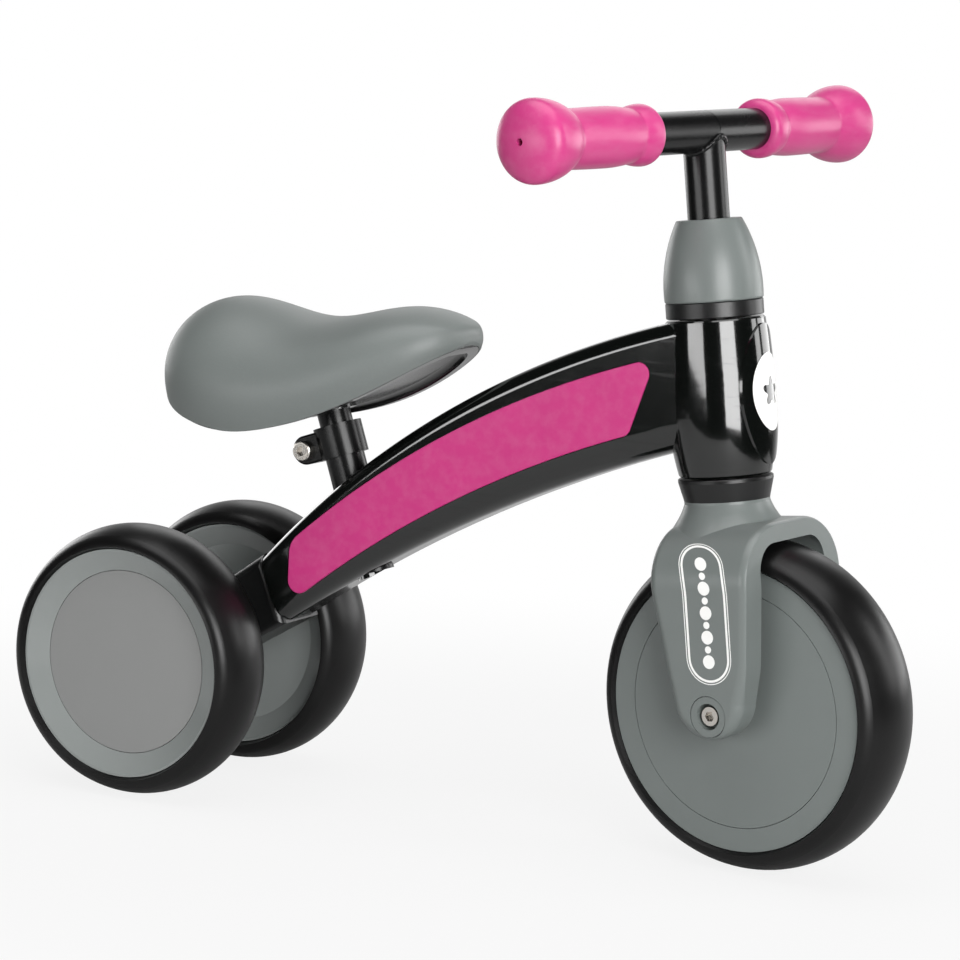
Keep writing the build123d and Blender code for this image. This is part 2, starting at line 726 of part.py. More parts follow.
with BuildPart() as seat_clamp:
    with BuildSketch(seat.offset(clamp_low)):
        Circle(CLAMP_R)
    extrude(amount=CLAMP_H)
    with BuildSketch(seat_side):
        with Locations((-CLAMP_EAR, ear_mid)):
            Circle(CLAMP_EAR_R)
        with Locations((-CLAMP_EAR / 2, ear_mid)):
            Rectangle(CLAMP_EAR, 2 * CLAMP_EAR_R)
    extrude(amount=CLAMP_HALF, both=True)
    fillet(seat_clamp.edges().filter_by(GeomType.CIRCLE).sort_by(Axis.X)[:2], CLAMP_ROUND)
    with BuildSketch(seat):
        Circle(TUBE_R)
    extrude(amount=SEAT_TUBE_L, mode=Mode.SUBTRACT)
    with BuildSketch(seat):
        Circle(POST_R + LINE_GAP)
    extrude(amount=SEAT_TUBE_L + CLAMP_H, mode=Mode.SUBTRACT)
    with BuildSketch(seat_side):
        with Locations((-CLAMP_EAR, ear_mid)):
            Rectangle(2 * CLAMP_EAR, 2 * CLAMP_H)
    extrude(amount=CLAMP_SLOT / 2, both=True, mode=Mode.SUBTRACT)
    with BuildSketch(seat_side):
        with Locations((-CLAMP_EAR, ear_mid)):
            Circle(CLAMP_BOLT_R)
    extrude(amount=2 * CLAMP_HALF, both=True, mode=Mode.SUBTRACT)

with BuildPart() as clamp_bolt:
    with BuildSketch(seat_side.offset(-CLAMP_HALF - CLAMP_HEAD_T - AXLE_PROUD)):
        with Locations((-CLAMP_EAR, ear_mid)):
            Circle(CLAMP_BOLT_R)
    extrude(amount=2 * CLAMP_HALF + CLAMP_HEAD_T + AXLE_PROUD)
    with BuildSketch(seat_side.offset(CLAMP_HALF)):
        with Locations((-CLAMP_EAR, ear_mid)):
            Circle(CLAMP_HEAD_R)
    extrude(amount=CLAMP_HEAD_T)
    chamfer(clamp_bolt.faces().sort_by(Axis.Y)[0].edges(), EDGE_BREAK)
    with BuildSketch(seat_side.offset(CLAMP_HALF + CLAMP_HEAD_T)):
        with Locations((-CLAMP_EAR, ear_mid)):
            RegularPolygon(CLAMP_SOCKET / 2, 6, major_radius=False)
    extrude(amount=-CLAMP_SOCKET_DEPTH, mode=Mode.SUBTRACT)

with BuildPart() as clamp_nut:
    with BuildSketch(seat_side.offset(-CLAMP_HALF)):
        with Locations((-CLAMP_EAR, ear_mid)):
            RegularPolygon(CLAMP_NUT_FLAT / 2, 6, major_radius=False)
            Circle(CLAMP_BOLT_R, mode=Mode.SUBTRACT)
    extrude(amount=-CLAMP_HEAD_T)

# Steering bushes, collars and cap, turned about the head axis
bore_r = STEERER_R + RUN_FIT
with BuildPart() as lower_bush:
    with BuildSketch(head_side):
        with BuildLine():
            Polyline(
                (bore_r, barrel_low),
                (BUSH_FLANGE_R, barrel_low),
                (BUSH_FLANGE_R, barrel_low + BUSH_FLANGE_T),
                (COLUMN_BUSH_R, barrel_low + BUSH_FLANGE_T),
                (COLUMN_BUSH_R, inner_low),
                (bore_r, inner_low),
                close=True,
            )
        make_face()
    revolve(axis=head_axis)

with BuildPart() as upper_bush:
    with BuildSketch(head_side):
        with BuildLine():
            Polyline(
                (bore_r, bush_top),
                (BUSH_FLANGE_R, bush_top),
                (BUSH_FLANGE_R, bush_top - BUSH_FLANGE_T),
                (COLUMN_BUSH_R, bush_top - BUSH_FLANGE_T),
                (COLUMN_BUSH_R, inner_top),
                (bore_r, inner_top),
                close=True,
            )
        make_face()
    revolve(axis=head_axis)

with BuildPart() as lower_collar:
    with BuildSketch(steer_side):
        with BuildLine():
            Polyline(
                (STEERER_R, neck_top),
                (NECK_R, neck_top),
                (LOW_COLLAR_TOP_R, barrel_low - COLUMN_GAP - 2),
                (LOW_COLLAR_TOP_R, barrel_low - COLUMN_GAP),
                (STEERER_R, barrel_low - COLUMN_GAP),
                close=True,
            )
        make_face()
    revolve(axis=head_axis)
    chamfer(lower_collar.edges().sort_by(SortBy.LENGTH)[-1], EDGE_BREAK)

collar_low = bush_top + COLUMN_GAP
cap_low = collar_low + UP_COLLAR_H
with BuildPart() as upper_collar:
    with BuildSketch(steer_side):
        with Locations(((STEERER_R + UP_COLLAR_R) / 2, collar_low + UP_COLLAR_H / 2)):
            Rectangle(UP_COLLAR_R - STEERER_R, UP_COLLAR_H)
    revolve(axis=head_axis)
    chamfer(upper_collar.edges().sort_by(SortBy.LENGTH)[-2:], EDGE_BREAK)

cap_top = cap_low + CAP_H


def cap_profile(wall, low, top, bore):
    """Half section of the bell-shaped cap, with its outer wall moved in by wall."""
    with BuildLine() as bell:
        Polyline((CAP_TOP_R - wall, top), (bore, top), (bore, low), (CAP_LOW_R - wall, low))
        middle = (CAP_LOW_R + CAP_TOP_R) / 2 + CAP_BULGE - wall
        ThreePointArc((CAP_LOW_R - wall, low), (middle, (low + top) / 2), (CAP_TOP_R - wall, top))
    make_face(bell.edges())


with BuildPart() as stem_cap:
    with BuildSketch(steer_side):
        cap_profile(0, cap_low, cap_top, TUBE_R)
    revolve(axis=head_axis)
    fillet(stem_cap.edges().filter_by(GeomType.CIRCLE).sort_by(SortBy.RADIUS)[2:4], CAP_EDGE)
    with BuildSketch(steer_side):
        cap_profile(CAP_WALL, cap_low, cap_top - CAP_WALL, 0)
    revolve(axis=head_axis, mode=Mode.SUBTRACT)

# Steerer with a flange under the fork crown
steerer_top = cap_low + STEERER_UP
bolt_height = cap_low + STEM_BOLT_UP
with BuildPart() as steerer:
    with BuildSketch(steer.offset(ceiling)):
        Circle(FLANGE_R)
    extrude(amount=FLANGE_T)
    with BuildSketch(steer.offset(ceiling)):
        Circle(STEERER_R)
    extrude(amount=steerer_top - ceiling)
    with BuildSketch(steer.offset(ceiling)):
        Circle(TUBE_R)
    extrude(amount=steerer_top - ceiling, mode=Mode.SUBTRACT)
    with BuildSketch(steer_side):
        with Locations((0, bolt_height)):
            Circle(BOLT_R)
    extrude(amount=STEERER_R, both=True, mode=Mode.SUBTRACT)

# Fork, cut from the overlap of its front view and its side view
leg_in = LEG_OUT - LEG_T
plug_floor = LEG_OUT - PLUG_T
bolt_floor = LEG_OUT - BOLT_SINK
stock = 90.0


def fork_side(view, spare):
    """Side view of the fork: a rounded leg end that widens up to the crown, with spare stock at the front."""
    low_back, low_front, low = LEG_LOW
    knee_back, knee_front, knee = LEG_KNEE
    with BuildLine() as leg:
        ThreePointArc((low_back, low), ((low_back + low_front) / 2, -LEG_END), (low_front, low))
        Polyline(
            (low_front, low),
            (knee_front + spare, knee),
            (FORK_FRONT_REACH + spare, LEG_HIGH),
            (FORK_FRONT_REACH + spare, neck_top),
            (-FORK_BACK, neck_top),
            (-FORK_BACK, LEG_HIGH),
            (knee_back, knee),
            (low_back, low),
        )
    make_face(leg.edges())
    fillet(view.vertices().filter_by_position(Axis.Y, knee - 1, LEG_HIGH + 1), LEG_BEND)


# The neck flares down to where it lies against the round of the shoulders
flare_turn = radians(FLARE_ANGLE)
flare_way = Vector(sin(flare_turn), cos(flare_turn))
flare_start = Vector(NECK_R, crown_top + FLARE_UP)
flare_end = Vector(LEG_OUT - SHOULDER_ROUND, crown_top - SHOULDER_ROUND) + flare_way * SHOULDER_ROUND
flare_drop = flare_end - flare_start
flare_r = -(flare_drop.length**2) / (2 * flare_way.dot(flare_drop))
with BuildPart() as fork_neck:
    with BuildSketch(steer_side):
        with BuildLine():
            Polyline((0, flare_end.Y), (0, neck_top), (NECK_R, neck_top), flare_start)
            RadiusArc(flare_start, flare_end, -flare_r)
            Line(flare_end, (0, flare_end.Y))
        make_face()
    revolve(axis=head_axis)

with BuildPart() as fork:
    with BuildSketch(steer_front) as fork_view:
        with Locations((0, (crown_top - 2 * LEG_END) / 2)):
            Rectangle(2 * LEG_OUT, crown_top + 2 * LEG_END)
        fillet(fork_view.vertices().group_by(Axis.Y)[-1], SHOULDER_ROUND)
    extrude(amount=stock, both=True)
    with BuildSketch(steer_side) as side_view:
        fork_side(side_view, FORK_TRIM)
    extrude(amount=stock, both=True, mode=Mode.INTERSECT)
    across = fork.edges().filter_by(Axis(foot, steer.y_dir)) + fork.edges().filter_by(Axis(foot, steer_ahead))
    fillet(fork.edges() - across, FORK_ROUND)
    add(fork_neck.part)

    # The front is trimmed to a flat rim, and the wheel well is turned about the wheel axis
    with BuildSketch(steer_side) as trim_view:
        fork_side(trim_view, 0)
    extrude(amount=stock, both=True, mode=Mode.INTERSECT)
    with BuildSketch(front_section) as well_view:
        with Locations((0, ceiling / 2)):
            Rectangle(2 * leg_in, ceiling)
        fillet(well_view.vertices().group_by(Axis.Y)[-1], WELL_ROUND)
    revolve(axis=front_axis, mode=Mode.SUBTRACT)

    # Bore and flange seat for the steerer, and the stepped holes for the axle bolts
    with BuildSketch(steer.offset(ceiling)):
        Circle(STEERER_R)
    extrude(amount=LEG_OUT, mode=Mode.SUBTRACT)
    with BuildSketch(steer.offset(ceiling - FLANGE_R)):
        Circle(FLANGE_R)
    extrude(amount=FLANGE_R + FLANGE_T, mode=Mode.SUBTRACT)
    with BuildSketch(steer_side):
        with Locations((FORK_OFFSET, 0)):
            Circle(BOLT_R)
    extrude(amount=2 * LEG_OUT, both=True, mode=Mode.SUBTRACT)
    for outward in (1, -1):
        with BuildSketch(steer_side.offset(outward * bolt_floor)):
            with Locations((FORK_OFFSET, 0)):
                Circle(PLUG_BORE_R)
        extrude(amount=outward * LEG_OUT, mode=Mode.SUBTRACT)
        with BuildSketch(steer_side.offset(outward * plug_floor)):
            with Locations((FORK_OFFSET, 0)):
                Circle(PLUG_R)
        extrude(amount=outward * LEG_OUT, mode=Mode.SUBTRACT)

with BuildPart() as fork_plugs:
    for outward in (1, -1):
        with BuildSketch(steer_side.offset(outward * plug_floor)):
            with Locations((FORK_OFFSET, 0)):
                Circle(PLUG_R - LINE_GAP)
                Circle(PLUG_BORE_R, mode=Mode.SUBTRACT)
        extrude(amount=outward * (PLUG_T - LINE_GAP))

# Front axle, held between the legs by a bolt at each end
with BuildPart() as front_axle:
    with BuildSketch(steer_side):
        with Locations((FORK_OFFSET, 0)):
            Circle(AXLE_R)
    extrude(amount=leg_in, both=True)
    for outward in (1, -1):
        with BuildSketch(steer_side.offset(outward * (leg_in - AXLE_TAP))):
            with Locations((FORK_OFFSET, 0)):
                Circle(BOLT_R)
        extrude(amount=outward * AXLE_TAP, mode=Mode.SUBTRACT)

with BuildPart() as axle_bolts:
    for outward in (1, -1):
        with BuildSketch(steer_side.offset(outward * (leg_in - AXLE_TAP))):
            with Locations((FORK_OFFSET, 0)):
                Circle(BOLT_R)
        extrude(amount=outward * (bolt_floor - leg_in + AXLE_TAP))
        with BuildSketch(steer_side.offset(outward * bolt_floor)):
            with Locations((FORK_OFFSET, 0)):
                Circle(BOLT_HEAD_R)
        extrude(amount=outward * BOLT_HEAD_T)
        with BuildSketch(steer_side.offset(outward * (bolt_floor + BOLT_HEAD_T - BOLT_SOCKET_DEPTH))):
            with Locations((FORK_OFFSET, 0)):
                RegularPolygon(BOLT_SOCKET / 2, 6, major_radius=False)
        extrude(amount=outward * BOLT_SOCKET_DEPTH, mode=Mode.SUBTRACT)

spacer_in = FRONT_EDGE_HALF + SIDE_GAP
with BuildPart() as axle_spacers:
    for outward in (1, -1):
        with BuildSketch(steer_side.offset(outward * spacer_in)):
            with Locations((FORK_OFFSET, 0)):
                Circle(AXLE_R + WASHER_W)
                Circle(AXLE_R, mode=Mode.SUBTRACT)
        extrude(amount=outward * (leg_in - spacer_in))

# Handlebar: a stem and two slightly swept bars, welded into one piece
sweep_angle = radians(BAR_SWEEP)
bar_height = cap_top + BAR_ABOVE_CAP
bar_centre = foot + up * bar_height
right_way = steer.y_dir * -cos(sweep_angle) - steer_ahead * sin(sweep_angle)
left_way = steer.y_dir * cos(sweep_angle) - steer_ahead * sin(sweep_angle)
bar_right = Plane(origin=bar_centre, x_dir=up, z_dir=right_way)
bar_left = Plane(origin=bar_centre, x_dir=up, z_dir=left_way)
bar_half = GRIP_BALL_AT + GRIP_END_HALF - 6
stem_low = inner_low + STEM_INSERT
with BuildPart() as handlebar:
    with BuildSketch(bar_right, bar_left):
        Circle(TUBE_R)
    extrude(amount=bar_half)
    with BuildSketch(steer.offset(stem_low)):
        Circle(TUBE_R)
    extrude(amount=bar_height - stem_low)
    with BuildSketch(bar_right, bar_left):
        Circle(TUBE_R - TUBE_WALL)
    extrude(amount=bar_half, mode=Mode.SUBTRACT)
    with BuildSketch(steer.offset(stem_low)):
        Circle(TUBE_R - TUBE_WALL)
    extrude(amount=bar_height - stem_low, mode=Mode.SUBTRACT)
    with BuildSketch(steer_side):
        with Locations((0, bolt_height)):
            Circle(BOLT_R)
    extrude(amount=TUBE_R, both=True, mode=Mode.SUBTRACT)

with BuildPart() as stem_bolt:
    with BuildSketch(steer_side.offset(-STEERER_R - STEM_HEAD_T - AXLE_PROUD)):
        with Locations((0, bolt_height)):
            Circle(BOLT_R)
    extrude(amount=2 * STEERER_R + STEM_HEAD_T + AXLE_PROUD)
    with BuildSketch(steer_side.offset(STEERER_R)):
        with Locations((0, bolt_height)):
            Circle(BOLT_HEAD_R)
    extrude(amount=STEM_HEAD_T)

with BuildPart() as stem_nut:
    with BuildSketch(steer_side.offset(-STEERER_R)):
        with Locations((0, bolt_height)):
            RegularPolygon(BOLT_HEAD_R, 6, major_radius=False)
            Circle(BOLT_R, mode=Mode.SUBTRACT)
    extrude(amount=-STEM_HEAD_T)


def grip_profile():
    """Half section of a grip: inner flange, barrel and end ball over the end of the bar."""
    end = GRIP_BALL_AT + GRIP_END_HALF
    start = GRIP_BALL_AT - GRIP_BALL_HALF
    with BuildLine() as ball:
        for half, way in ((GRIP_END_HALF, 1), (GRIP_BALL_HALF, -1)):
            shoulder = GRIP_SHOULDER * half
            crown, joint = oval(GRIP_BALL_R, half, shoulder)
            turn_to = radians(joint)
            meet = (GRIP_BALL_AT + way * shoulder * sin(turn_to), GRIP_BALL_R - shoulder * (1 - cos(turn_to)))
            ThreePointArc(
                (GRIP_BALL_AT, GRIP_BALL_R),
                (
                    GRIP_BALL_AT + way * shoulder * sin(turn_to / 2),
                    GRIP_BALL_R - shoulder * (1 - cos(turn_to / 2)),
                ),
                meet,
            )
            half_turn = (pi / 2 - turn_to) / 2
            ThreePointArc(
                meet,
                (
                    GRIP_BALL_AT + way * (half - crown * (1 - cos(half_turn))),
                    crown * sin(half_turn),
                ),
                (GRIP_BALL_AT + way * half, 0),
            )
        Line((start, 0), (end, 0))
    make_face(ball.edges())
    with Locations(((GRIP_START + GRIP_BALL_AT) / 2, GRIP_R / 2)):
        Rectangle(GRIP_BALL_AT - GRIP_START, GRIP_R)
    with Locations((GRIP_START + GRIP_FLANGE_W / 2, 0)):
        RectangleRounded(GRIP_FLANGE_W, 2 * GRIP_FLANGE_R, GRIP_FLANGE_ROUND)
    with Locations((GRIP_BALL_AT / 2, -GRIP_BALL_R)):
        Rectangle(2 * GRIP_BALL_AT, 2 * GRIP_BALL_R, mode=Mode.SUBTRACT)
    with Locations((bar_half / 2, 0)):
        Rectangle(bar_half, 2 * TUBE_R, mode=Mode.SUBTRACT)
    with Locations((bar_half, 0)):
        Rectangle(2 * GRIP_BALL_R, 2 * VENT_R, mode=Mode.SUBTRACT)


with BuildPart() as grip_right:
    with BuildSketch(Plane(origin=bar_centre, x_dir=right_way, z_dir=right_way.cross(up))):
        grip_profile()
    revolve(axis=Axis(bar_centre, right_way))
    necks = grip_right.edges().filter_by(GeomType.CIRCLE).sort_by(Axis(bar_centre, right_way))
    fillet([edge for edge in necks if abs(edge.radius - GRIP_R) < 0.01][-1], GRIP_NECK)

with BuildPart() as grip_left:
    with BuildSketch(Plane(origin=bar_centre, x_dir=left_way, z_dir=left_way.cross(up))):
        grip_profile()
    revolve(axis=Axis(bar_centre, left_way))
    necks = grip_left.edges().filter_by(GeomType.CIRCLE).sort_by(Axis(bar_centre, left_way))
    fillet([edge for edge in necks if abs(edge.radius - GRIP_R) < 0.01][-1], GRIP_NECK)


# Saddle, lofted through sections along the bike
def saddle_width(along, inset):
    """Half width at a share of the length, for the saddle's plan drawn in by inset."""
    oval_share = (1 - abs(2 * along - 1) ** PLAN_POWER) ** (1 / PLAN_POWER)
    return (SADDLE_HALF - inset) * oval_share * (1 - NOSE_TAPER * along)


def saddle_close(share):
    """Share of the full height that is left at a place along the saddle, rounded off at both ends."""
    return (1 - abs(2 * share - 1) ** SIDE_POWER) ** (1 / SIDE_POWER)


def saddle_middle(share):
    """Height of the line that the saddle's ends close to."""
    return (SADDLE_LOW + SADDLE_HIGH) / 2 + NOSE_LIFT * share


def saddle_rim(share):
    """Height of the saddle's lower edge at a share of its length."""
    climb = max(0, (share - CLIMB_START) / (1 - CLIMB_START))
    low = SADDLE_LOW + SADDLE_NOSE_RISE * climb**CLIMB_POWER
    return saddle_middle(share) - (saddle_middle(share) - low) * saddle_close(share)


def saddle_crown(share):
    """Height of the saddle's top at a share of its length: a hump, a dip and a nose."""
    wave = SADDLE_HIGH - SADDLE_DIP * (1 - cos(radians(WAVE_TURN * (share - WAVE_START)))) / 2
    return saddle_middle(share) + (wave - saddle_middle(share)) * saddle_close(share)


def saddle_section(half, low, high):
    """One section of the saddle, of that half width, between two heights.

    An oval of three arcs stands on two shallow arcs that draw the sides in towards the lower edge.
    """
    tall = high - low
    rise = min((1 - SADDLE_WAIST) * tall, SADDLE_ROUND * half)
    waist = low + tall - rise
    shoulder = SADDLE_SHOULDER * min(half, rise)
    crown, joint = oval(half, rise, shoulder)
    foot_half = half * (1 - SADDLE_TUCK)
    knee = (half - half * SADDLE_TUCK / 4, (low + waist) / 2)
    with BuildLine() as edge:
        ThreePointArc((foot_half, low), knee, (half, waist))
        CenterArc((half - shoulder, waist), shoulder, 0, joint)
        CenterArc((0, low + tall - crown), crown, joint, 180 - 2 * joint)
        CenterArc((shoulder - half, waist), shoulder, 180 - joint, joint)
        ThreePointArc((-half, waist), (-knee[0], knee[1]), (-foot_half, low))
        Line((-foot_half, low), (foot_half, low))
    make_face(edge.edges())


def saddle_planes(inset):
    """Half width, share of the full length and plane of each section of the plan drawn in by inset."""
    places = []
    for step in range(SADDLE_STEPS + 1):
        along = END_SHARE + (1 - 2 * END_SHARE) * (1 - cos(radians(180 * step / SADDLE_STEPS))) / 2
        reach = inset + (SADDLE_L - 2 * inset) * along
        place = Plane(origin=(saddle_back + reach, 0, 0), x_dir=(0, 1, 0), z_dir=(1, 0, 0))
        places.append((saddle_width(along, inset), reach / SADDLE_L, place))
    return places


saddle_back = rear_x + SADDLE_BACK
with BuildPart() as saddle_form:
    for half, share, place in saddle_planes(0):
        with BuildSketch(place):
            saddle_section(half, saddle_rim(share), saddle_crown(share))
    loft()

# The tray fills a shallow recess under the cushion, and its own underside is dished by the liner
with BuildPart() as saddle_core:
    for half, share, place in saddle_planes(SADDLE_WALL):
        with BuildSketch(place):
            edge_half = half * (1 - SADDLE_TUCK)
            saddle_section(edge_half, saddle_rim(share) - BASE_SPARE, saddle_rim(share) + BASE_TALL)
    loft()

with BuildPart() as saddle_liner:
    for half, share, place in saddle_planes(SADDLE_WALL + BASE_RIM):
        with BuildSketch(place):
            edge_half = half * (1 - SADDLE_TUCK)
            dish_top = saddle_rim(share) + BASE_TALL - BASE_WALL
            saddle_section(edge_half, saddle_rim(share) - 2 * BASE_SPARE, dish_top)
    loft()

boss_low = SEAT_TUBE_L + BOSS_GAP
boss_r = POST_R + BOSS_WALL
screw_height = boss_low + BOSS_SCREW_UP
with BuildPart() as post_boss:
    with BuildSketch(seat.offset(boss_low)):
        Circle(boss_r)
    extrude(amount=POST_TOP + BOSS_WALL - boss_low)

with BuildPart() as post_screw:
    with BuildSketch(seat_side.offset(-boss_r)):
        with Locations((0, screw_height)):
            Circle(BOLT_R)
    extrude(amount=2 * boss_r)
    with BuildSketch(seat_side.offset(boss_r)):
        with Locations((0, screw_height)):
            Circle(BOLT_HEAD_R)
    extrude(amount=POST_HEAD_T)

with BuildPart() as saddle_pad:
    add(saddle_form.part)
    add(post_boss.part, mode=Mode.SUBTRACT)
    add(post_screw.part, mode=Mode.SUBTRACT)
    add(saddle_core.part, mode=Mode.SUBTRACT)

with BuildPart() as saddle_base:
    add(saddle_core.part)
    add(saddle_form.part, mode=Mode.INTERSECT)
    add(saddle_liner.part, mode=Mode.SUBTRACT)
    add(post_boss.part)
    with BuildSketch(seat.offset(boss_low)):
        Circle(POST_R)
    extrude(amount=POST_TOP - boss_low, mode=Mode.SUBTRACT)
    with BuildSketch(seat_side):
        with Locations((0, screw_height)):
            Circle(BOLT_R)
    extrude(amount=boss_r, both=True, mode=Mode.SUBTRACT)

with BuildPart() as saddle_post:
    with BuildSketch(seat.offset(POST_FOOT)):
        Circle(POST_R)
        Circle(POST_R - TUBE_WALL, mode=Mode.SUBTRACT)
    extrude(amount=POST_TOP - POST_FOOT)
    with BuildSketch(seat_side):
        with Locations((0, screw_height)):
            Circle(BOLT_R)
    extrude(amount=POST_R, both=True, mode=Mode.SUBTRACT)

names = {
    "front_tyre": front_tyre,
    "front_hub": front_hub,
    "front_cap_left": front_cap_left,
    "front_cap_right": front_cap_right,
    "front_bushes": front_bushes,
    "rear_tyre_right": rear_tyre_right,
    "rear_hub_right": rear_hub_right,
    "rear_cap_right": rear_cap_right,
    "rear_bushes_right": rear_bushes_right,
    "rear_tyre_left": rear_tyre_left,
    "rear_hub_left": rear_hub_left,
    "rear_cap_left": rear_cap_left,
    "rear_bushes_left": rear_bushes_left,
    "rear_axle": rear_axle,
    "axle_washers": axle_washers,
    "axle_nuts": axle_nuts,
    "frame_shell_right": frame_shell_right,
    "frame_shell_left": frame_shell_left,
    "frame_screws": frame_screws,
    "side_panel_right": side_panel_right,
    "side_panel_left": side_panel_left,
    "head_badge": head_badge,
    "rear_carrier": rear_carrier,
    "seat_tube": seat_tube,
    "seat_clamp": seat_clamp,
    "clamp_bolt": clamp_bolt,
    "clamp_nut": clamp_nut,
    "lower_bush": lower_bush,
    "upper_bush": upper_bush,
    "lower_collar": lower_collar,
    "upper_collar": upper_collar,
    "stem_cap": stem_cap,
    "steerer": steerer,
    "fork": fork,
    "fork_plugs": fork_plugs,
    "front_axle": front_axle,
    "axle_bolts": axle_bolts,
    "axle_spacers": axle_spacers,
    "handlebar": handlebar,
    "stem_bolt": stem_bolt,
    "stem_nut": stem_nut,
    "grip_right": grip_right,
    "grip_left": grip_left,
    "saddle_pad": saddle_pad,
    "saddle_base": saddle_base,
    "saddle_post": saddle_post,
    "post_screw": post_screw,
}
for name, piece in names.items():
    piece.part.label = name
    print(name, piece.part.is_valid, len(piece.part.solids()), round(piece.part.volume / 1000, 2))
    export_step(piece.part, "parts/" + name + ".step")
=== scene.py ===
import json
from math import cos, pi, radians, sin

import bpy
import numpy as np
from mathutils import Matrix, Vector


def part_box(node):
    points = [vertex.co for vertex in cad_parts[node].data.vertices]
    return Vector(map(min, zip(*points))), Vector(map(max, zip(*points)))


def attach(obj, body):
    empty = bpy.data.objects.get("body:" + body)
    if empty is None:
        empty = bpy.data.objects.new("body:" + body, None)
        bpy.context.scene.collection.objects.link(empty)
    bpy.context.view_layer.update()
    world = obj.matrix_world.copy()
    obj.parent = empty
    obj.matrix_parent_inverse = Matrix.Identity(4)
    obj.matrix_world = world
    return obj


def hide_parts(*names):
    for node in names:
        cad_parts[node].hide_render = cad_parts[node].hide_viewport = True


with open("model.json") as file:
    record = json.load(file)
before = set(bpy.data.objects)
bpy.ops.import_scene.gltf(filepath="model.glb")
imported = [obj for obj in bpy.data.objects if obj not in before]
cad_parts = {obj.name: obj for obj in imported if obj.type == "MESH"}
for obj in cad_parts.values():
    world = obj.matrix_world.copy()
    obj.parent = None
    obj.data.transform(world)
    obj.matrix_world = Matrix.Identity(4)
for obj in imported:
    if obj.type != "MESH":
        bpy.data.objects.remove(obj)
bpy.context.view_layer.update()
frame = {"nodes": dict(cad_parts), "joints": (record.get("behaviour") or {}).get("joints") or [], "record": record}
nodes = frame["nodes"]
joints = {joint["name"]: joint for joint in frame["joints"]}

MM = 0.001
CREASE_ANGLE = radians(38)
SKIN_WALL = 0.04
PRINT_WALL = 0.1

# Steering column: foot on the head axis, its upward, forward and leftward directions at rest
head_foot = np.array(joints["steering_turn"]["pos_m"])
head_up = np.array(joints["steering_turn"]["axis"])
axle_left = np.array(joints["front_wheel_spin"]["axis"])
steer_ahead = np.cross(axle_left, head_up)
bike_left = np.array((0.0, 1.0, 0.0))
head_ahead = np.cross(bike_left, head_up)

# Colours of the finishes, linear
GREY = (0.150, 0.168, 0.162)
RING_GREY = (0.235, 0.252, 0.246)
DISC_GREY = (0.222, 0.225, 0.222)
SADDLE_GREY = (0.155, 0.172, 0.166)
GRIP_PINK = (0.545, 0.044, 0.204)
PANEL_PINK = (0.500, 0.032, 0.182)
SHELL_BLACK = (0.0022, 0.0029, 0.0025)
COAT_BLACK = (0.0042, 0.0043, 0.0044)
MOULD_BLACK = (0.0048, 0.0049, 0.0050)
FOAM_BLACK = (0.0040, 0.0039, 0.0040)
ZINC = (0.72, 0.71, 0.68)
PRINT_WHITE = (0.86, 0.86, 0.84)
BEARING_WHITE = (0.68, 0.67, 0.62)

# Saddle, in millimetres and shares of its length from the back
SADDLE_HALF = 64.0
SADDLE_LOW = 210.0
SADDLE_HIGH = 285.0
SADDLE_DIP = 11.0
NOSE_RISE = 48.0
NOSE_LIFT = 20.0
NOSE_TAPER = 0.25
PLAN_POWER = 2.6
SIDE_POWER = 2.8
NOSE_POWER = 4.2
CLIMB_START = 0.3
CLIMB_POWER = 1.6
WAVE_START = 0.15
WAVE_TURN = radians(507)
SADDLE_WAIST = 0.3
SADDLE_ROUND = 0.95
SADDLE_SHOULDER = 0.82
SADDLE_TUCK = 0.07
END_SHARE = 0.006
LIP_ROUND = 1.0
RECESS_INSET = 1.45
RECESS_DEEP = 10.15
RECESS_LEAST = 0.5
RECESS_STEPS = (1, 0.999, 0.5)
TIP_CLOSE = 0.8
LIP_PARTS = 12

# Print on the fork legs: across runs forward of the head axis, along runs up the leg's outer face
LEG_OUT = 46.0
SHOULDER_FROM = 66.5
SHOULDER_R = 31.0
PRINT_LIFT = 0.15
PILL_ACROSS = 13.5
PILL_LOW = 17.0
PILL_TOP = 92.0
PILL_HALF = 13.9
PILL_LEAN = 0.010
PILL_STRAIGHT = 62.0
THIN_LINE = (0.0, 0.45)
THICK_LINE = (1.2, 2.4)
DOTS = 9
DOT_R = (3.6, 1.9)
DOT_START = 0.16
DOT_STEP = 0.085

# White disc on the head badge, and the bulged barrel wall that carries it
DISC_UP = 164.5
DISC_TALL = 20.5
DISC_HALF = 14.5
BLOSSOM_R = 6.2
PETALS = 5
PETAL_DEPTH = 0.28
BADGE_T = 1.2
BULGE_UP = 153.4
BULGE_R = 28.2
WALL_LOW = (122.4, 24.6)
WALL_TOP = (203.0, 26.4)

# Handlebar, and the weld where the stem meets it
BAR_UP = 301.6
BAR_R = 11.1
BAR_SWEEP = radians(2.1)
WELD_R = 1.5
WELD_WAVES = 16
WELD_RIPPLE = 0.16
WELD_FLAT = 0.9
WELD_BITE = 0.96

# Grips: along runs out from the middle of the bar
GRIP_START = 50.0
BEAD_AT = 55.0
BEAD_R = 16.0
BEAD_OUT = 12.0
BODY_AT = 85.0
BODY_R = 15.65
BODY_STOP = 8.0
INNER_FALL, INNER_REACH = 1.9, 21
OUTER_FALL, OUTER_REACH = 0.45, 30
BALL_AT = 139.5
BALL_R = 21.4
BALL_IN = 30.0
BALL_OUT = 11.0
DOME_POWER = 2.3
BLEND_POWER = 50
VENT_R = 1.9
VENT_IN = 145.05
SLEEVE_R = 11.15

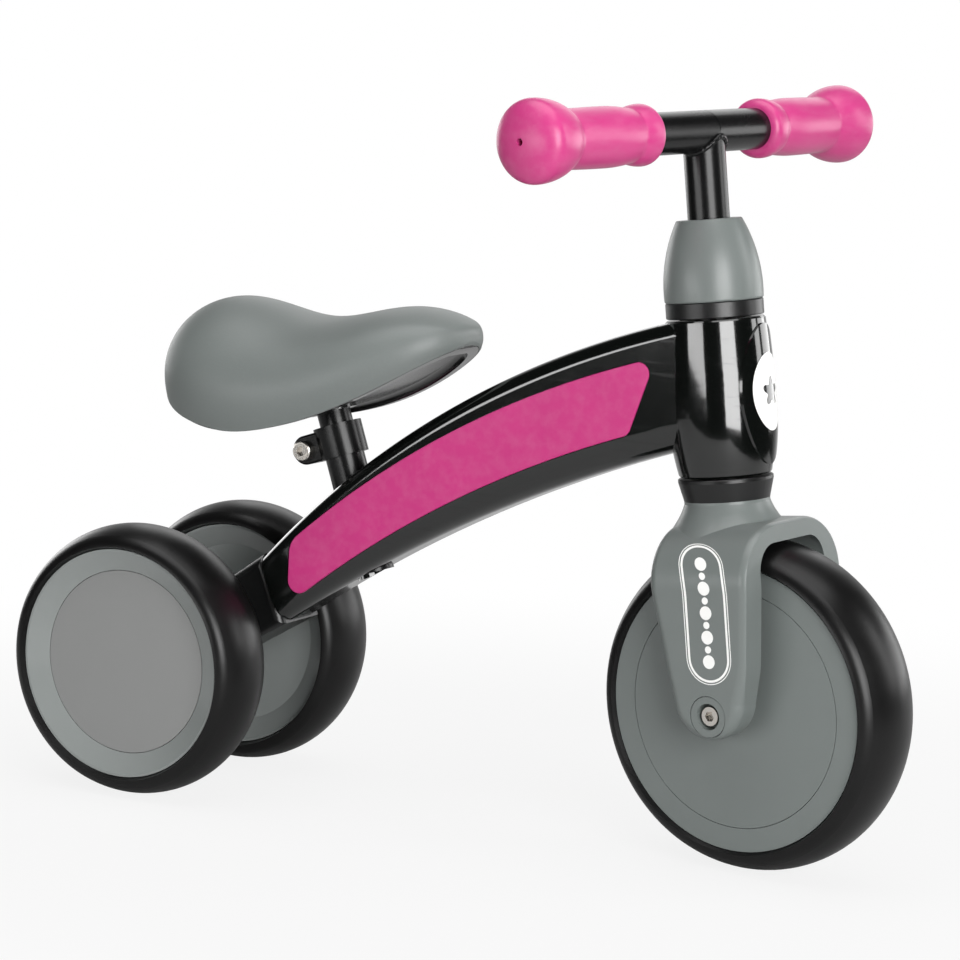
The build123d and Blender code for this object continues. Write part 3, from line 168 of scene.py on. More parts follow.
# Upper edges of the arch: ends and rise of its upper arc in the side view,
# and bearings from the arc's centre
ARCH_REAR = (-123.65, 139.4)
ARCH_HEAD = (111.52, 284.81)
ARCH_RISE = 17.5
ARCH_HALF = 24.0
ARCH_ROUND = 8.0
REAR_BEARING = radians(136.1)
HEAD_BEARING = radians(105.6)
HEAD_DRAW = radians(1.35)
TIP_BEARING = (radians(129.3), radians(130.8))
TIP_CLIMB = radians(11.0)
SKIN_LIFT = 0.06


class Value:
    """One output of a shader node. Sums and products add the Math nodes that work them out."""

    def __init__(self, paint, socket):
        self.paint = paint
        self.socket = socket

    def math(self, operation, first, second):
        return self.paint.node("ShaderNodeMath", {0: first, 1: second}, operation=operation)

    def __add__(self, other):
        return self.math("ADD", self, other)

    def __radd__(self, other):
        return self.math("ADD", other, self)

    def __sub__(self, other):
        return self.math("SUBTRACT", self, other)

    def __rsub__(self, other):
        return self.math("SUBTRACT", other, self)

    def __mul__(self, other):
        return self.math("MULTIPLY", self, other)

    def __rmul__(self, other):
        return self.math("MULTIPLY", other, self)

    def ramp(self, low, high):
        """0 at low, 1 at high and a smooth change between them. Low may be the larger one."""
        span = {"Value": self, "From Min": low, "From Max": high}
        return self.paint.node("ShaderNodeMapRange", span, interpolation_type="SMOOTHSTEP")


class Paint:
    """The nodes of a material or of the world."""

    def __init__(self, owner):
        owner.use_nodes = True
        self.owner = owner
        self.tree = owner.node_tree

    def node(self, kind, inputs=None, out=0, **settings):
        """Adds a node with its settings, then sets or links its sockets, and gives one output."""
        made = self.tree.nodes.new(kind)
        for name, setting in settings.items():
            setattr(made, name, setting)
        for name, value in (inputs or {}).items():
            self.join(value, made.inputs[name])
        return Value(self, made.outputs[out])

    def join(self, value, socket):
        """Links a value to a socket, or sets the socket to a plain number or colour."""
        if isinstance(value, Value):
            self.tree.links.new(value.socket, socket)
        else:
            socket.default_value = value

    def mix(self, share, first, second):
        """Colour that goes from first to second as share goes from 0 to 1."""
        inputs = {0: share, 6: first, 7: second}
        return self.node("ShaderNodeMix", inputs, out=2, data_type="RGBA")


class Finish(Paint):
    """A surface finish: a material whose patterns are laid out in the object's own metres."""

    def __init__(self, name):
        super().__init__(bpy.data.materials.new(name))
        self.shader = self.tree.nodes["Principled BSDF"]
        self.place = self.node("ShaderNodeTexCoord", out="Object")

    def clouds(self, size, detail=2.0, stretch=(1, 1, 1), rough=0.5):
        """Cloudy pattern from 0 to 1 with patches about size metres across.

        They are longer along an axis whose stretch is small.
        """
        scaled = {"Vector": self.place, "Scale": stretch}
        spot = self.node("ShaderNodeMapping", scaled, vector_type="POINT")
        inputs = {"Vector": spot, "Scale": 1 / size, "Detail": detail, "Roughness": rough}
        return self.node("ShaderNodeTexNoise", inputs)

    def pebbles(self, size):
        """Cells about size metres across, 0 in their middles."""
        return self.node("ShaderNodeTexVoronoi", {"Vector": self.place, "Scale": 1 / size})

    def relief(self, height, depth):
        """Fine relief of that depth in metres, which turns the surface's normal."""
        inputs = {"Height": height, "Distance": depth, "Strength": 1.0}
        self.feed({"Normal": self.node("ShaderNodeBump", inputs)})

    def tone(self, colour, spread, share):
        """The colour, darker by spread where share is 0 and lighter by it where share is 1."""
        return self.mix(share, shaded(colour, 1 - spread), shaded(colour, 1 + spread))

    def feed(self, values):
        for name, value in values.items():
            self.join(value, self.shader.inputs[name])


def shaded(colour, factor):
    """The colour times factor, as red, green, blue and alpha."""
    return tuple(channel * factor for channel in colour) + (1.0,)


def moulded(name, colour, rough, grain, mottle=0.05, coat=0.0):
    """Moulded plastic: a cloudy tone, a fine spark-eroded grain and rubbed patches."""
    finish = Finish(name)
    cloud = finish.clouds(18 * MM, detail=3.0)
    speck = finish.clouds(1.1 * MM, detail=2.0)
    rub = finish.clouds(30 * MM, detail=4.0, stretch=(1.0, 1.0, 0.35))
    finish.feed({
        "Base Color": finish.tone(colour, mottle, cloud * 0.6 + speck * 0.4),
        "Roughness": rough + (rub - 0.5) * 0.14 + (speck - 0.5) * 0.10,
        "Coat Weight": coat,
        "Coat Roughness": 0.12,
    })
    finish.relief(finish.clouds(0.45 * MM, detail=3.0) * 0.7 + speck * 0.3, grain)
    return finish


def gloss_shell():
    """Glossy black moulding: a faint waviness, hair scratches and thin, dulling dust."""
    finish = Finish("gloss_black_shell")
    scratch = finish.clouds(9 * MM, detail=5.0, stretch=(0.25, 1.0, 4.0)).ramp(0.60, 0.72)
    dust = finish.clouds(24 * MM, detail=5.0).ramp(0.5, 0.85)
    speck = finish.pebbles(2.6 * MM).ramp(0.10, 0.04) * dust
    finish.feed({
        "Base Color": finish.mix(speck * 0.25, shaded(SHELL_BLACK, 1.0), shaded(SHELL_BLACK, 5.0)),
        "Roughness": 0.12 + dust * 0.05 + scratch * 0.05,
        "Coat Weight": 0.75 - scratch * 0.15,
        "Coat Roughness": 0.07,
    })
    finish.relief(finish.clouds(7 * MM, detail=1.0), 0.03 * MM)
    return finish


def powder_coat():
    """Satin black powder coat on steel tube: fine stipple with slightly shinier crests."""
    finish = Finish("black_powder_coat")
    stipple = finish.clouds(0.8 * MM, detail=2.0)
    cloud = finish.clouds(22 * MM, detail=3.0)
    finish.feed({
        "Base Color": finish.tone(COAT_BLACK, 0.18, cloud),
        "Roughness": 0.25 + (0.5 - stipple) * 0.08 + (cloud - 0.5) * 0.08,
        "Specular IOR Level": 0.32,
    })
    finish.relief(stipple, 0.010 * MM)
    return finish


def tyre_foam():
    """Smooth black foam rubber: a skin with fine pores, cloudy sheen and a little dust."""
    finish = Finish("black_foam_tyre")
    pores = finish.pebbles(1.2 * MM).ramp(0.02, 0.22)
    cloud = finish.clouds(16 * MM, detail=4.0)
    dust = finish.clouds(60 * MM, detail=5.0).ramp(0.52, 0.8)
    clean = finish.tone(FOAM_BLACK, 0.22, cloud)
    finish.feed({
        "Base Color": finish.mix(dust * 0.35, clean, shaded(FOAM_BLACK, 2.2)),
        "Roughness": 0.33 + (cloud - 0.5) * 0.10 + dust * 0.08,
        "Specular IOR Level": 0.3,
    })
    finish.relief(pores * 0.5 + finish.clouds(0.9 * MM) * 0.5, 0.025 * MM)
    return finish


def foam_skin():
    """Grey integral foam skin: soft pebbling, and a cloudy tone and roughness."""
    finish = Finish("grey_saddle_skin")
    cloud = finish.clouds(26 * MM, detail=4.0)
    pebble = finish.pebbles(1.5 * MM)
    finish.feed({
        "Base Color": finish.tone(SADDLE_GREY, 0.06, cloud * 0.7 + pebble * 0.3),
        "Roughness": 0.46 + (cloud - 0.5) * 0.14,
    })
    finish.relief(pebble * 0.6 + finish.clouds(0.5 * MM) * 0.4, 0.035 * MM)
    return finish


def pink_moulding(name, colour, rough, gloss, streak):
    """Pink plastic or grip rubber: a frosty mottle drawn out along streak and a fine grain."""
    finish = Finish(name)
    frost = finish.clouds(5 * MM, detail=5.0, stretch=streak, rough=0.62)
    cloud = finish.clouds(30 * MM, detail=2.0)
    grain = finish.clouds(0.6 * MM, detail=2.0)
    bloom = tuple(0.86 * channel + 0.14 * 0.75 for channel in colour)
    even = finish.tone(colour, 0.07, cloud)
    finish.feed({
        "Base Color": finish.mix(frost.ramp(0.35, 0.8) * 0.30, even, shaded(bloom, 1.0)),
        "Roughness": rough + (frost - 0.5) * 0.16,
        "Specular IOR Level": gloss,
    })
    finish.relief(grain * 0.7 + frost * 0.3, 0.04 * MM)
    return finish


def zinc_plate():
    """Bright zinc plate on steel: brushed, slightly clouded and warmer in places."""
    finish = Finish("bright_zinc")
    cloud = finish.clouds(3 * MM, detail=4.0)
    brush = finish.clouds(0.4 * MM, detail=2.0, stretch=(1.0, 0.1, 1.0))
    warm = tuple(channel * tint for channel, tint in zip(ZINC, (1.05, 0.97, 0.90)))
    finish.feed({
        "Base Color": finish.mix(cloud, shaded(ZINC, 1.0), shaded(warm, 0.9)),
        "Metallic": 1.0,
        "Roughness": 0.22 + (cloud - 0.5) * 0.14 + (brush - 0.5) * 0.08,
    })
    finish.relief(brush, 0.01 * MM)
    return finish


def white_print():
    """White print on moulded plastic: nearly even ink with pinholes."""
    finish = Finish("white_print")
    pinholes = finish.pebbles(0.9 * MM).ramp(0.10, 0.02)
    cloud = finish.clouds(8 * MM, detail=3.0)
    ink = finish.tone(PRINT_WHITE, 0.03, cloud)
    finish.feed({
        "Base Color": finish.mix(pinholes * 0.3, ink, shaded(PRINT_WHITE, 0.7)),
        "Roughness": 0.38 + (cloud - 0.5) * 0.12,
    })
    finish.relief(finish.clouds(0.5 * MM), 0.01 * MM)
    return finish


def mesh_piece(name, points, faces, body, finish, slot, wall=0.0):
    """Makes a smooth-shaded piece of points and faces that rides on a body and wears a finish.

    A thin sheet gets a wall, in millimetres, behind its face, with its edges kept sharp.
    """
    mesh = bpy.data.meshes.new(name)
    mesh.from_pydata(points.tolist(), [], faces)
    mesh.validate()
    mesh.shade_smooth()
    mesh.set_sharp_from_angle(angle=CREASE_ANGLE)
    mesh.materials.append(finish.owner)
    piece = bpy.data.objects.new(name, mesh)
    bpy.context.scene.collection.objects.link(piece)
    if wall:
        solid = piece.modifiers.new("wall", "SOLIDIFY")
        solid.thickness = wall * MM
        solid.offset = -1
        crease = piece.modifiers.new("crease", "EDGE_SPLIT")
        crease.split_angle = CREASE_ANGLE
    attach(piece, body)
    return piece


def grid_faces(rows, columns, round_rows=False, round_columns=False, start=0):
    """Four-cornered faces of a grid of points, joined round where a direction closes on itself."""
    row = np.arange(rows if round_rows else rows - 1)
    column = np.arange(columns if round_columns else columns - 1)
    row, column = [axis.ravel() for axis in np.meshgrid(row, column, indexing="ij")]
    next_row = (row + 1) % rows
    next_column = (column + 1) % columns
    corners = (row * columns + column, next_row * columns + column)
    corners += (next_row * columns + next_column, row * columns + next_column)
    return (np.stack(corners, axis=1) + start).tolist()


def turned(faces):
    """The faces looking the other way."""
    return [face[::-1] for face in faces]


def fan_faces(pole, ring):
    """Triangles from a pole to each step of a closed ring of points."""
    return np.stack((np.full(len(ring), pole), ring, np.roll(ring, -1)), axis=1).tolist()


def head_points(ahead_way, left_way, ahead, left, up):
    """Places given by how far they lie ahead of, left of and up the head axis, in millimetres."""
    ahead, left, up = [np.ravel(part)[:, None] for part in np.broadcast_arrays(ahead, left, up)]
    return head_foot + MM * (ahead * ahead_way + left * left_way + up * head_up)


def saddle_lines(share):
    """Lower edge and crown of the saddle at shares of its length.

    The side view closes as a superellipse that is blunter over the nose. The lower edge climbs
    to the nose by a power of the share, and the crown is a cosine wave: a hump, a dip and a nose.
    """
    close = (1 - np.abs(2 * share - 1) ** SIDE_POWER) ** (1 / SIDE_POWER)
    middle = (SADDLE_LOW + SADDLE_HIGH) / 2 + NOSE_LIFT * share
    climb = np.maximum(0, (share - CLIMB_START) / (1 - CLIMB_START))
    low = SADDLE_LOW + NOSE_RISE * climb**CLIMB_POWER
    wave = SADDLE_HIGH - SADDLE_DIP * (1 - np.cos(WAVE_TURN * (share - WAVE_START))) / 2
    power = SIDE_POWER + (NOSE_POWER - SIDE_POWER) * np.clip(2 * share - 1, 0, 1)
    full = (1 - np.abs(2 * share - 1) ** power) ** (1 / power)
    return middle + (low - middle) * close, middle + (wave - middle) * full


def saddle_plan(along, inset):
    """Half width of the saddle's plan, drawn in by inset, at shares along it.

    The plan is a superellipse that tapers to the nose.
    """
    along = np.clip(along, 0, 1)
    oval = (1 - np.abs(2 * along - 1) ** PLAN_POWER) ** (1 / PLAN_POWER)
    return (SADDLE_HALF - inset) * oval * (1 - NOSE_TAPER * along)


def saddle_cushion(rows=170, crown_columns=72, side_columns=14, lip_columns=5):
    """The saddle's skin: one closed section after another from its back to its nose.

    A section goes over a three-centred oval, down sides that draw in by the square of the way
    down, round a small lip, up the wall of the tray's recess and across it. Each end runs to a
    point.
    """
    low_corner, high_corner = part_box("saddle_pad")
    length = (high_corner[0] - low_corner[0]) / (1 - 2 * END_SHARE) / MM
    back = low_corner[0] / MM - END_SHARE * length
    steps = np.linspace(0, pi, rows + 2)[1:-1]
    share = ((1 - np.cos(steps)) / 2)[:, None]
    half = saddle_plan(share, 0)
    rim, crown = saddle_lines(share)
    tall = crown - rim
    rise = np.minimum((1 - SADDLE_WAIST) * tall, SADDLE_ROUND * half)
    waist = crown - rise
    shoulder = SADDLE_SHOULDER * np.minimum(half, rise)
    top_r = ((half - shoulder) ** 2 + rise**2 - shoulder**2) / (2 * (rise - shoulder))
    joint = np.arctan2(top_r - rise, half - shoulder)
    angle = np.linspace(0, pi, crown_columns)[None]
    near, far = angle < joint, angle > pi - joint
    across = np.where(near, half - shoulder, np.where(far, shoulder - half, 0))
    bend = np.where(near | far, shoulder, top_r)
    over_y = across + bend * np.cos(angle)
    over_z = np.where(near | far, waist, crown - top_r) + bend * np.sin(angle)

    lip = np.minimum(LIP_ROUND, half / LIP_PARTS)
    down = np.linspace(0, 1, side_columns + 1)[None, 1:]
    side_y = half * (1 - SADDLE_TUCK * down**2)
    side_z = waist - (waist - rim - lip) * down
    curl = np.linspace(0, pi / 2, lip_columns + 1)[None, 1:]
    lip_y = half * (1 - SADDLE_TUCK) - lip * (1 - np.cos(curl))
    lip_z = rim + lip * (1 - np.sin(curl))
    reach = length * share
    inner = (reach - RECESS_INSET) / (length - 2 * RECESS_INSET)
    recess = saddle_plan(inner, RECESS_INSET) * (1 - SADDLE_TUCK)
    lip_end = lip_y[:, -1:]
    open_below = recess > RECESS_LEAST
    deep = np.where(open_below, RECESS_DEEP, 0.0)
    wall_y = np.where(open_below, np.minimum(recess, lip_end), TIP_CLOSE * lip_end) * RECESS_STEPS
    wall_z = np.concatenate((rim, rim + deep, rim + deep), axis=1)
    half_y = np.concatenate((side_y, lip_y, wall_y), axis=1)
    half_z = np.concatenate((side_z, lip_z, wall_z), axis=1)
    y = np.concatenate((over_y, -half_y, half_y[:, ::-1]), axis=1)
    z = np.concatenate((over_z, half_z, half_z[:, ::-1]), axis=1)
    x = np.broadcast_to(back + reach, y.shape)
    columns = y.shape[1]
    middle = (SADDLE_LOW + SADDLE_HIGH) / 2
    ends = [(back, 0, middle), (back + length, 0, middle + NOSE_LIFT)]
    points = np.concatenate((np.stack((x, y, z), axis=2).reshape(-1, 3), ends)) * MM
    faces = grid_faces(rows, columns, round_columns=True)
    faces += fan_faces(rows * columns, np.arange(columns))
    faces += fan_faces(rows * columns + 1, (rows - 1) * columns + np.arange(columns)[::-1])
    return points, turned(faces)


def pill_line(half, columns=40):
    """Outline of the print's pill at a half width, as places across and along.

    It is two half circles joined by straights.
    """
    centre = (PILL_LOW + PILL_TOP) / 2
    straight = (PILL_TOP - PILL_LOW) / 2 - PILL_HALF
    arc = np.linspace(0, pi, columns)
    run = np.linspace(straight, -straight, columns)[1:-1]
    across = np.concatenate((half * np.cos(arc), np.full(run.shape, -half)))
    along = np.concatenate((straight + half * np.sin(arc), run))
    return PILL_ACROSS + np.concatenate((across, -across)), centre + np.concatenate((along, -along))


def disc_grid(radius, rows=9):
    """A disc as a square grid whose sides are bent out to a circle, so that it has no pole."""
    side = np.linspace(-1, 1, rows)
    first, second = np.meshgrid(side, side, indexing="ij")
    return radius * first * np.sqrt(1 - second**2 / 2), radius * second * np.sqrt(1 - first**2 / 2)


def leg_print(side):
    """White print on one fork leg: a thin and a thick pill outline round a column of dots.

    The leg's face is flat up to its shoulder and then bends inward along an arc. The side is -1
    on the right leg and 1 on the left.
    """
    flats, faces, count = [], [], 0
    for line in (THIN_LINE, THICK_LINE):
        rings = [np.stack(pill_line(PILL_HALF - inset), axis=1) for inset in line]
        faces += grid_faces(2, len(rings[0]), round_columns=True, start=count)
        flats += rings
        count += 2 * len(rings[0])
    for step in range(DOTS):
        across, along = disc_grid(DOT_R[step % 2])
        place = PILL_LOW + (PILL_TOP - PILL_LOW) * (DOT_START + DOT_STEP * step)
        flats.append(np.stack((PILL_ACROSS + across.ravel(), place + along.ravel()), axis=1))
        faces += grid_faces(*across.shape, start=count)
        count += across.size
    across, along = np.concatenate(flats).T
    bend = np.maximum(along - SHOULDER_FROM, 0) / SHOULDER_R
    lean = PILL_LEAN * np.maximum(along - PILL_STRAIGHT, 0) ** 2
    out = LEG_OUT - SHOULDER_R + (SHOULDER_R + PRINT_LIFT) * np.cos(bend)
    up = np.minimum(along, SHOULDER_FROM) + (SHOULDER_R + PRINT_LIFT) * np.sin(bend)
    points = head_points(steer_ahead, axle_left, across - lean, side * out, up)
    return points, faces if side > 0 else turned(faces)


def badge_disc(columns=120, rows=8):
    """White oval disc on the badge with a five-petalled hole, bent round the barrel's bulged wall.

    Each ring is the blossom's outline at the hole and goes over to the oval at the rim. The
    wall's radius falls with the square of the way from its bulge to either end.
    """
    turn = np.linspace(0, 2 * pi, columns, endpoint=False)[None]
    share = np.linspace(0, 1, rows)[:, None]
    petal = BLOSSOM_R * (1 + PETAL_DEPTH * np.cos(PETALS * turn))
    across = (1 - share) * petal * np.sin(turn) + share * DISC_HALF * np.sin(turn)
    along = (1 - share) * petal * np.cos(turn) + share * DISC_TALL * np.cos(turn)
    up = DISC_UP + along
    above = (BULGE_R - WALL_TOP[1]) * ((up - BULGE_UP) / (WALL_TOP[0] - BULGE_UP)) ** 2
    below = (BULGE_R - WALL_LOW[1]) * ((up - BULGE_UP) / (BULGE_UP - WALL_LOW[0])) ** 2
    radius = BULGE_R - np.where(up > BULGE_UP, above, below) + BADGE_T + PRINT_LIFT
    ahead = np.sqrt(radius**2 - across**2)
    faces = grid_faces(rows, columns, round_columns=True)
    return head_points(head_ahead, bike_left, ahead, across, up), turned(faces)


def weld_bead(columns=180, rows=14):
    """Weld bead round the stem where it meets the bar.

    It is a rippled tube along the curve where two equal tubes cross.
    """
    turn = np.linspace(0, 2 * pi, columns, endpoint=False)[None]
    round_tube = np.linspace(0, 2 * pi, rows, endpoint=False)[:, None]
    thick = WELD_R * (1 + WELD_RIPPLE * np.abs(np.sin(WELD_WAVES * turn)))
    radius = BAR_R + thick * np.cos(round_tube) * WELD_FLAT
    crossing = np.sqrt(BAR_R**2 - (WELD_BITE * BAR_R * np.cos(turn)) ** 2)
    height = BAR_UP - crossing + thick * np.sin(round_tube)
    ahead, left = radius * np.cos(turn), radius * np.sin(turn)
    points = head_points(steer_ahead, axle_left, ahead, left, height)
    return points, turned(grid_faces(rows, columns, round_rows=True, round_columns=True))


def grip_sleeve(way, columns=96, rows=120):
    """One grip turned about the bar, which runs along way.

    Outline, vent, bar's end and bore make one closed ring. The outline is the largest of three
    radii, blended by a high power mean: a half-elliptical inner bead, a body that swells by a
    parabola, and a ball of two half ovals.
    """
    vent_share = (1 - (VENT_R / BALL_R) ** DOME_POWER) ** (1 / DOME_POWER)
    vent_end = BALL_AT + BALL_OUT * vent_share
    step = np.linspace(0, pi, rows)
    along = GRIP_START + (vent_end - GRIP_START) * (1 - np.cos(step)) / 2
    reach = np.where(along < BEAD_AT, BEAD_AT - GRIP_START, BEAD_OUT)
    bead = np.sqrt(np.maximum(1 - ((along - BEAD_AT) / reach) ** 2, 0))
    bead = np.where(bead > 0, SLEEVE_R + (BEAD_R - SLEEVE_R) * bead, 0)
    inward = INNER_FALL * ((BODY_AT - along) / INNER_REACH) ** 2
    outward = OUTER_FALL * ((along - BODY_AT) / OUTER_REACH) ** 2
    swell = np.where(along < BODY_AT, inward, outward)
    body = np.where(along < BALL_AT - BODY_STOP, BODY_R - swell, 0)
    inner = np.sqrt(np.maximum(1 - ((BALL_AT - along) / BALL_IN) ** 2, 0))
    past = np.maximum(along - BALL_AT, 0) / BALL_OUT
    outer = np.maximum(1 - past**DOME_POWER, 0) ** (1 / DOME_POWER)
    ball = BALL_R * np.where(along < BALL_AT, inner, outer)
    total = sum((part / BALL_R) ** BLEND_POWER for part in (bead, body, ball))
    radius = BALL_R * total ** (1 / BLEND_POWER)
    radius = np.concatenate((np.maximum(radius, VENT_R), (VENT_R, SLEEVE_R, SLEEVE_R)))[:, None]
    along = np.concatenate((along, (VENT_IN, VENT_IN, GRIP_START)))[:, None]
    turn = np.linspace(0, 2 * pi, columns, endpoint=False)[None]
    high, side, along = [part.reshape(-1, 1) for part in np.broadcast_arrays(
        radius * np.cos(turn), radius * np.sin(turn), along
    )]
    centre = head_foot + MM * BAR_UP * head_up
    points = centre + MM * (along * way + high * head_up + side * np.cross(head_up, way))
    return points, grid_faces(len(radius), columns, round_rows=True, round_columns=True)


def arch_shoulder(side, rows=16, columns=140):
    """Smooth skin on one upper edge of the arch: a quarter circle carried along its upper arc.

    It runs from the rear end to the barrel, and starts a little way up the quarter circle beside
    the panel's tip.
    """
    first, last = np.array(ARCH_REAR), np.array(ARCH_HEAD)
    chord = last - first
    arc_r = (chord @ chord / 4 + ARCH_RISE**2) / (2 * ARCH_RISE)
    upright = np.array((-chord[1], chord[0])) / np.linalg.norm(chord)
    centre = (first + last) / 2 - upright * (arc_r - ARCH_RISE)
    share = np.linspace(0, 1, columns)[None]
    level = np.linspace(0, 1, rows)[:, None]
    bearing = REAR_BEARING + (HEAD_BEARING - REAR_BEARING) * share
    tip_start, tip_end = TIP_BEARING
    climb = TIP_CLIMB * np.clip((bearing - tip_start) / (tip_end - tip_start), 0, 1)
    turn = climb + (pi / 2 - climb) * level
    bearing = bearing + HEAD_DRAW * np.sin(turn) * share
    radius = arc_r - ARCH_ROUND + (ARCH_ROUND + SKIN_LIFT) * np.sin(turn)
    out = ARCH_HALF - ARCH_ROUND + (ARCH_ROUND + SKIN_LIFT) * np.cos(turn)
    x, y, z = centre[0] + radius * np.cos(bearing), side * out, centre[1] + radius * np.sin(bearing)
    faces = grid_faces(rows, columns)
    return np.stack((x, y, z), axis=2).reshape(-1, 3) * MM, faces if side > 0 else turned(faces)


# Finishes
grey_moulding = moulded("grey_moulding", GREY, rough=0.34, grain=0.022 * MM)
grey_hub = moulded("grey_hub", GREY, rough=0.22, grain=0.008 * MM, mottle=0.03, coat=0.4)
grey_ring = moulded("grey_ring", RING_GREY, rough=0.22, grain=0.008 * MM, mottle=0.03, coat=0.4)
grey_disc = moulded("grey_disc", DISC_GREY, rough=0.48, grain=0.020 * MM, mottle=0.03)
black_moulding = moulded("black_moulding", MOULD_BLACK, rough=0.33, grain=0.015 * MM, mottle=0.2)
black_tray = moulded("black_tray", MOULD_BLACK, rough=0.20, grain=0.008 * MM, mottle=0.2, coat=0.5)
bearing_white = moulded("bearing_white", BEARING_WHITE, rough=0.45, grain=0.01 * MM)
black_shell = gloss_shell()
black_tube = powder_coat()
foam = tyre_foam()
skin = foam_skin()
pink_panel = pink_moulding("pink_panel", PANEL_PINK, rough=0.36, gloss=0.2, streak=(0.7, 1.0, 0.7))
pink_grip = pink_moulding("pink_grip", GRIP_PINK, rough=0.34, gloss=0.5, streak=(1.0, 0.3, 1.0))
zinc = zinc_plate()
print_white = white_print()

slot_finish = {
    "shell_black": black_shell,
    "accent_pink": pink_panel,
    "grip_pink": pink_grip,
    "moulding_grey": grey_moulding,
    "hub_grey": grey_hub,
    "saddle_grey": skin,
    "base_black": black_tray,
    "badge_black": black_shell,
    "carrier_black": black_moulding,
    "tube_black": black_tube,
    "tyre_black": foam,
    "zinc": zinc,
    "bush_white": bearing_white,
}
node_finish = {
    "rear_cap_right": grey_disc,
    "rear_cap_left": grey_disc,
    "rear_hub_right": grey_ring,
    "rear_hub_left": grey_ring,
    "fork_plugs": grey_moulding,
}
for part in frame["record"]["subparts"]:
    finish = node_finish.get(part["node"], slot_finish[part["material_slot"]])
    for material_slot in nodes[part["node"]].material_slots:
        material_slot.material = finish.owner

# New pieces
cushion = mesh_piece("saddle_cushion", *saddle_cushion(), "saddle", skin, "saddle_grey")
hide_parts("saddle_pad")
right_way = -axle_left * cos(BAR_SWEEP) - steer_ahead * sin(BAR_SWEEP)
left_way = axle_left * cos(BAR_SWEEP) - steer_ahead * sin(BAR_SWEEP)
for node, way in (("grip_right", right_way), ("grip_left", left_way)):
    sleeve = mesh_piece(node + "_sleeve", *grip_sleeve(way), "steering", pink_grip, "grip_pink")
    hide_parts(node)
edge_skin = ("frame", black_shell, "shell_black", SKIN_WALL)
mesh_piece("arch_shoulder_right", *arch_shoulder(-1), *edge_skin)
mesh_piece("arch_shoulder_left", *arch_shoulder(1), *edge_skin)
leg_mark = ("steering", print_white, "bush_white", PRINT_WALL)
mesh_piece("fork_print_right", *leg_print(-1), *leg_mark)
mesh_piece("fork_print_left", *leg_print(1), *leg_mark)
mesh_piece("badge_disc", *badge_disc(), "frame", print_white, "bush_white", PRINT_WALL)
mesh_piece("stem_weld", *weld_bead(), "steering", black_tube, "tube_black")

# Camera where the photograph was taken from
CAMERA_PLACE = (0.87887, -1.58527, 0.45615)
CAMERA_TURN = 28.96
CAMERA_DOWN = 8.33
CAMERA_ROLL = 1.75
CAMERA_LENS = 125.07
CAMERA_SENSOR = 36.0
turn, down, roll = radians(CAMERA_TURN), radians(CAMERA_DOWN), radians(CAMERA_ROLL)
sight = Vector((-sin(turn) * cos(down), cos(turn) * cos(down), -sin(down)))
level = Vector((cos(turn), sin(turn), 0.0))
rise = level.cross(sight)
camera_right = level * cos(roll) + rise * sin(roll)
camera_rise = rise * cos(roll) - level * sin(roll)
camera = bpy.data.objects.new("camera", bpy.data.cameras.new("camera"))
camera.data.lens = CAMERA_LENS
camera.data.sensor_width = CAMERA_SENSOR
camera_axes = Matrix((camera_right, camera_rise, -sight)).transposed()
camera.matrix_world = Matrix.Translation(CAMERA_PLACE) @ camera_axes.to_4x4()
bpy.context.scene.collection.objects.link(camera)
bpy.context.scene.camera = camera

# Lamps, which face a point above the middle of the floor
LAMP_AIM = Vector((0, 0, 0.2))


def softbox(name, bearing, height, reach, size, power):
    """Area lamp at a bearing round the bike, in degrees from its right side towards the front."""
    lamp = bpy.data.lights.new(name, "AREA")
    lamp.shape = "RECTANGLE"
    lamp.size, lamp.size_y = size
    lamp.energy = power
    place = Vector((reach * sin(radians(bearing)), -reach * cos(radians(bearing)), height))
    lamp_object = bpy.data.objects.new(name, lamp)
    lamp_object.location = place
    lamp_object.rotation_euler = (LAMP_AIM - place).to_track_quat("-Z", "Y").to_euler()
    bpy.context.scene.collection.objects.link(lamp_object)


softbox("left_box", bearing=-20, height=0.31, reach=1.9, size=(1.3, 0.32), power=8.6)
softbox("right_box", bearing=52, height=0.62, reach=1.9, size=(1.05, 1.12), power=36)
softbox("front_box", bearing=120, height=0.9, reach=2.0, size=(0.5, 1.2), power=8)
softbox("top_box", bearing=10, height=2.2, reach=0.3, size=(2.2, 1.8), power=34)
softbox("side_box", bearing=150, height=0.42, reach=2.2, size=(1.3, 0.7), power=9)
softbox("back_box", bearing=200, height=1.4, reach=2.2, size=(1.8, 1.2), power=8)
softbox("rear_box", bearing=245, height=0.42, reach=2.2, size=(1.3, 0.7), power=7)

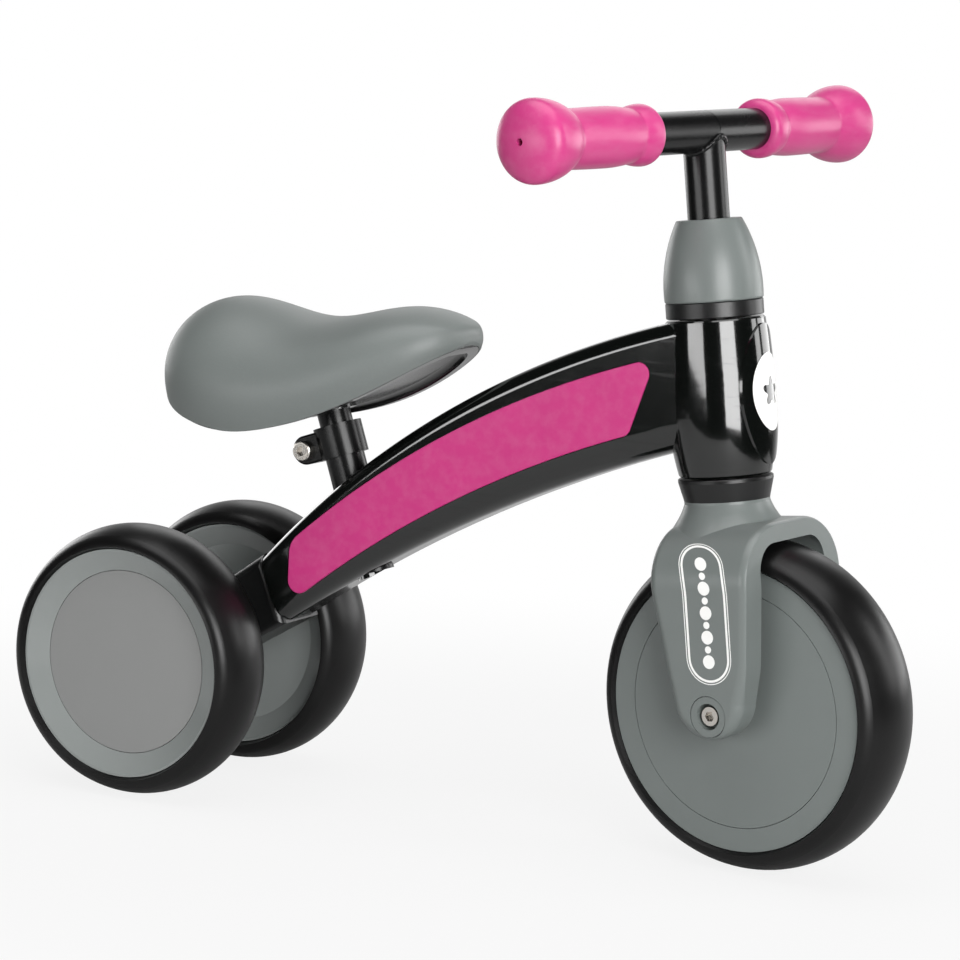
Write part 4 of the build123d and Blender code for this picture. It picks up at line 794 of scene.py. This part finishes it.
# World: white to the eye, and a room that is pale behind and dim in front for what reflects it
ROOM_GLOW = 0.13
MIRROR_DIM = 0.11
MIRROR_BEHIND = 0.6
BEHIND_FROM = 0.45
world = bpy.data.worlds.new("studio")
bpy.context.scene.world = world
room = Paint(world)
seen = room.node("ShaderNodeLightPath", out="Is Camera Ray")
glossy = room.node("ShaderNodeLightPath", out="Is Glossy Ray")
mirrored = glossy + room.node("ShaderNodeLightPath", out="Is Transmission Ray")
gaze = {0: room.node("ShaderNodeTexCoord", out="Generated"), 1: tuple(sight)}
toward = room.node("ShaderNodeVectorMath", gaze, out="Value", operation="DOT_PRODUCT")
behind = toward.ramp(BEHIND_FROM, 1.0)
strength = seen + (1 - seen) * (ROOM_GLOW + mirrored * (behind * MIRROR_BEHIND - MIRROR_DIM))
background = room.tree.nodes["Background"]
background.inputs["Color"].default_value = (1, 1, 1, 1)
room.join(strength, background.inputs["Strength"])

# Floor: pale, white to the eye, with a soft shadow that stays near the bike
FLOOR_HALF = 1.0
FLOOR_GREY = (0.52, 0.52, 0.52)
FLOOR_WHITE = 0.85
SHADOW_FADE = (0.25, 0.75)
floor_finish = Finish("pale_floor")
floor_seen = floor_finish.node("ShaderNodeLightPath", out="Is Camera Ray")
floor_finish.feed({
    "Base Color": floor_finish.tone(FLOOR_GREY, 0.01, floor_finish.clouds(0.4)),
    "Roughness": 0.85,
})
spot = {0: floor_finish.place}
away = floor_finish.node("ShaderNodeVectorMath", spot, out="Value", operation="LENGTH")
glow = floor_finish.node("ShaderNodeEmission", {"Color": (1, 1, 1, 1), "Strength": 1.0})
shown = floor_finish.node("ShaderNodeMixShader", {
    0: floor_seen * (FLOOR_WHITE + away.ramp(*SHADOW_FADE) * (1 - FLOOR_WHITE)),
    1: Value(floor_finish, floor_finish.shader.outputs["BSDF"]),
    2: glow,
})
floor_finish.join(shown, floor_finish.tree.nodes["Material Output"].inputs["Surface"])
floor_mesh = bpy.data.meshes.new("floor")
corners = [(-FLOOR_HALF, -FLOOR_HALF, 0), (FLOOR_HALF, -FLOOR_HALF, 0)]
corners += [(FLOOR_HALF, FLOOR_HALF, 0), (-FLOOR_HALF, FLOOR_HALF, 0)]
floor_mesh.from_pydata(corners, [], [(0, 1, 2, 3)])
floor_mesh.materials.append(floor_finish.owner)
floor = bpy.data.objects.new("floor", floor_mesh)
bpy.context.scene.collection.objects.link(floor)

bpy.context.scene.view_settings.view_transform = "Standard"
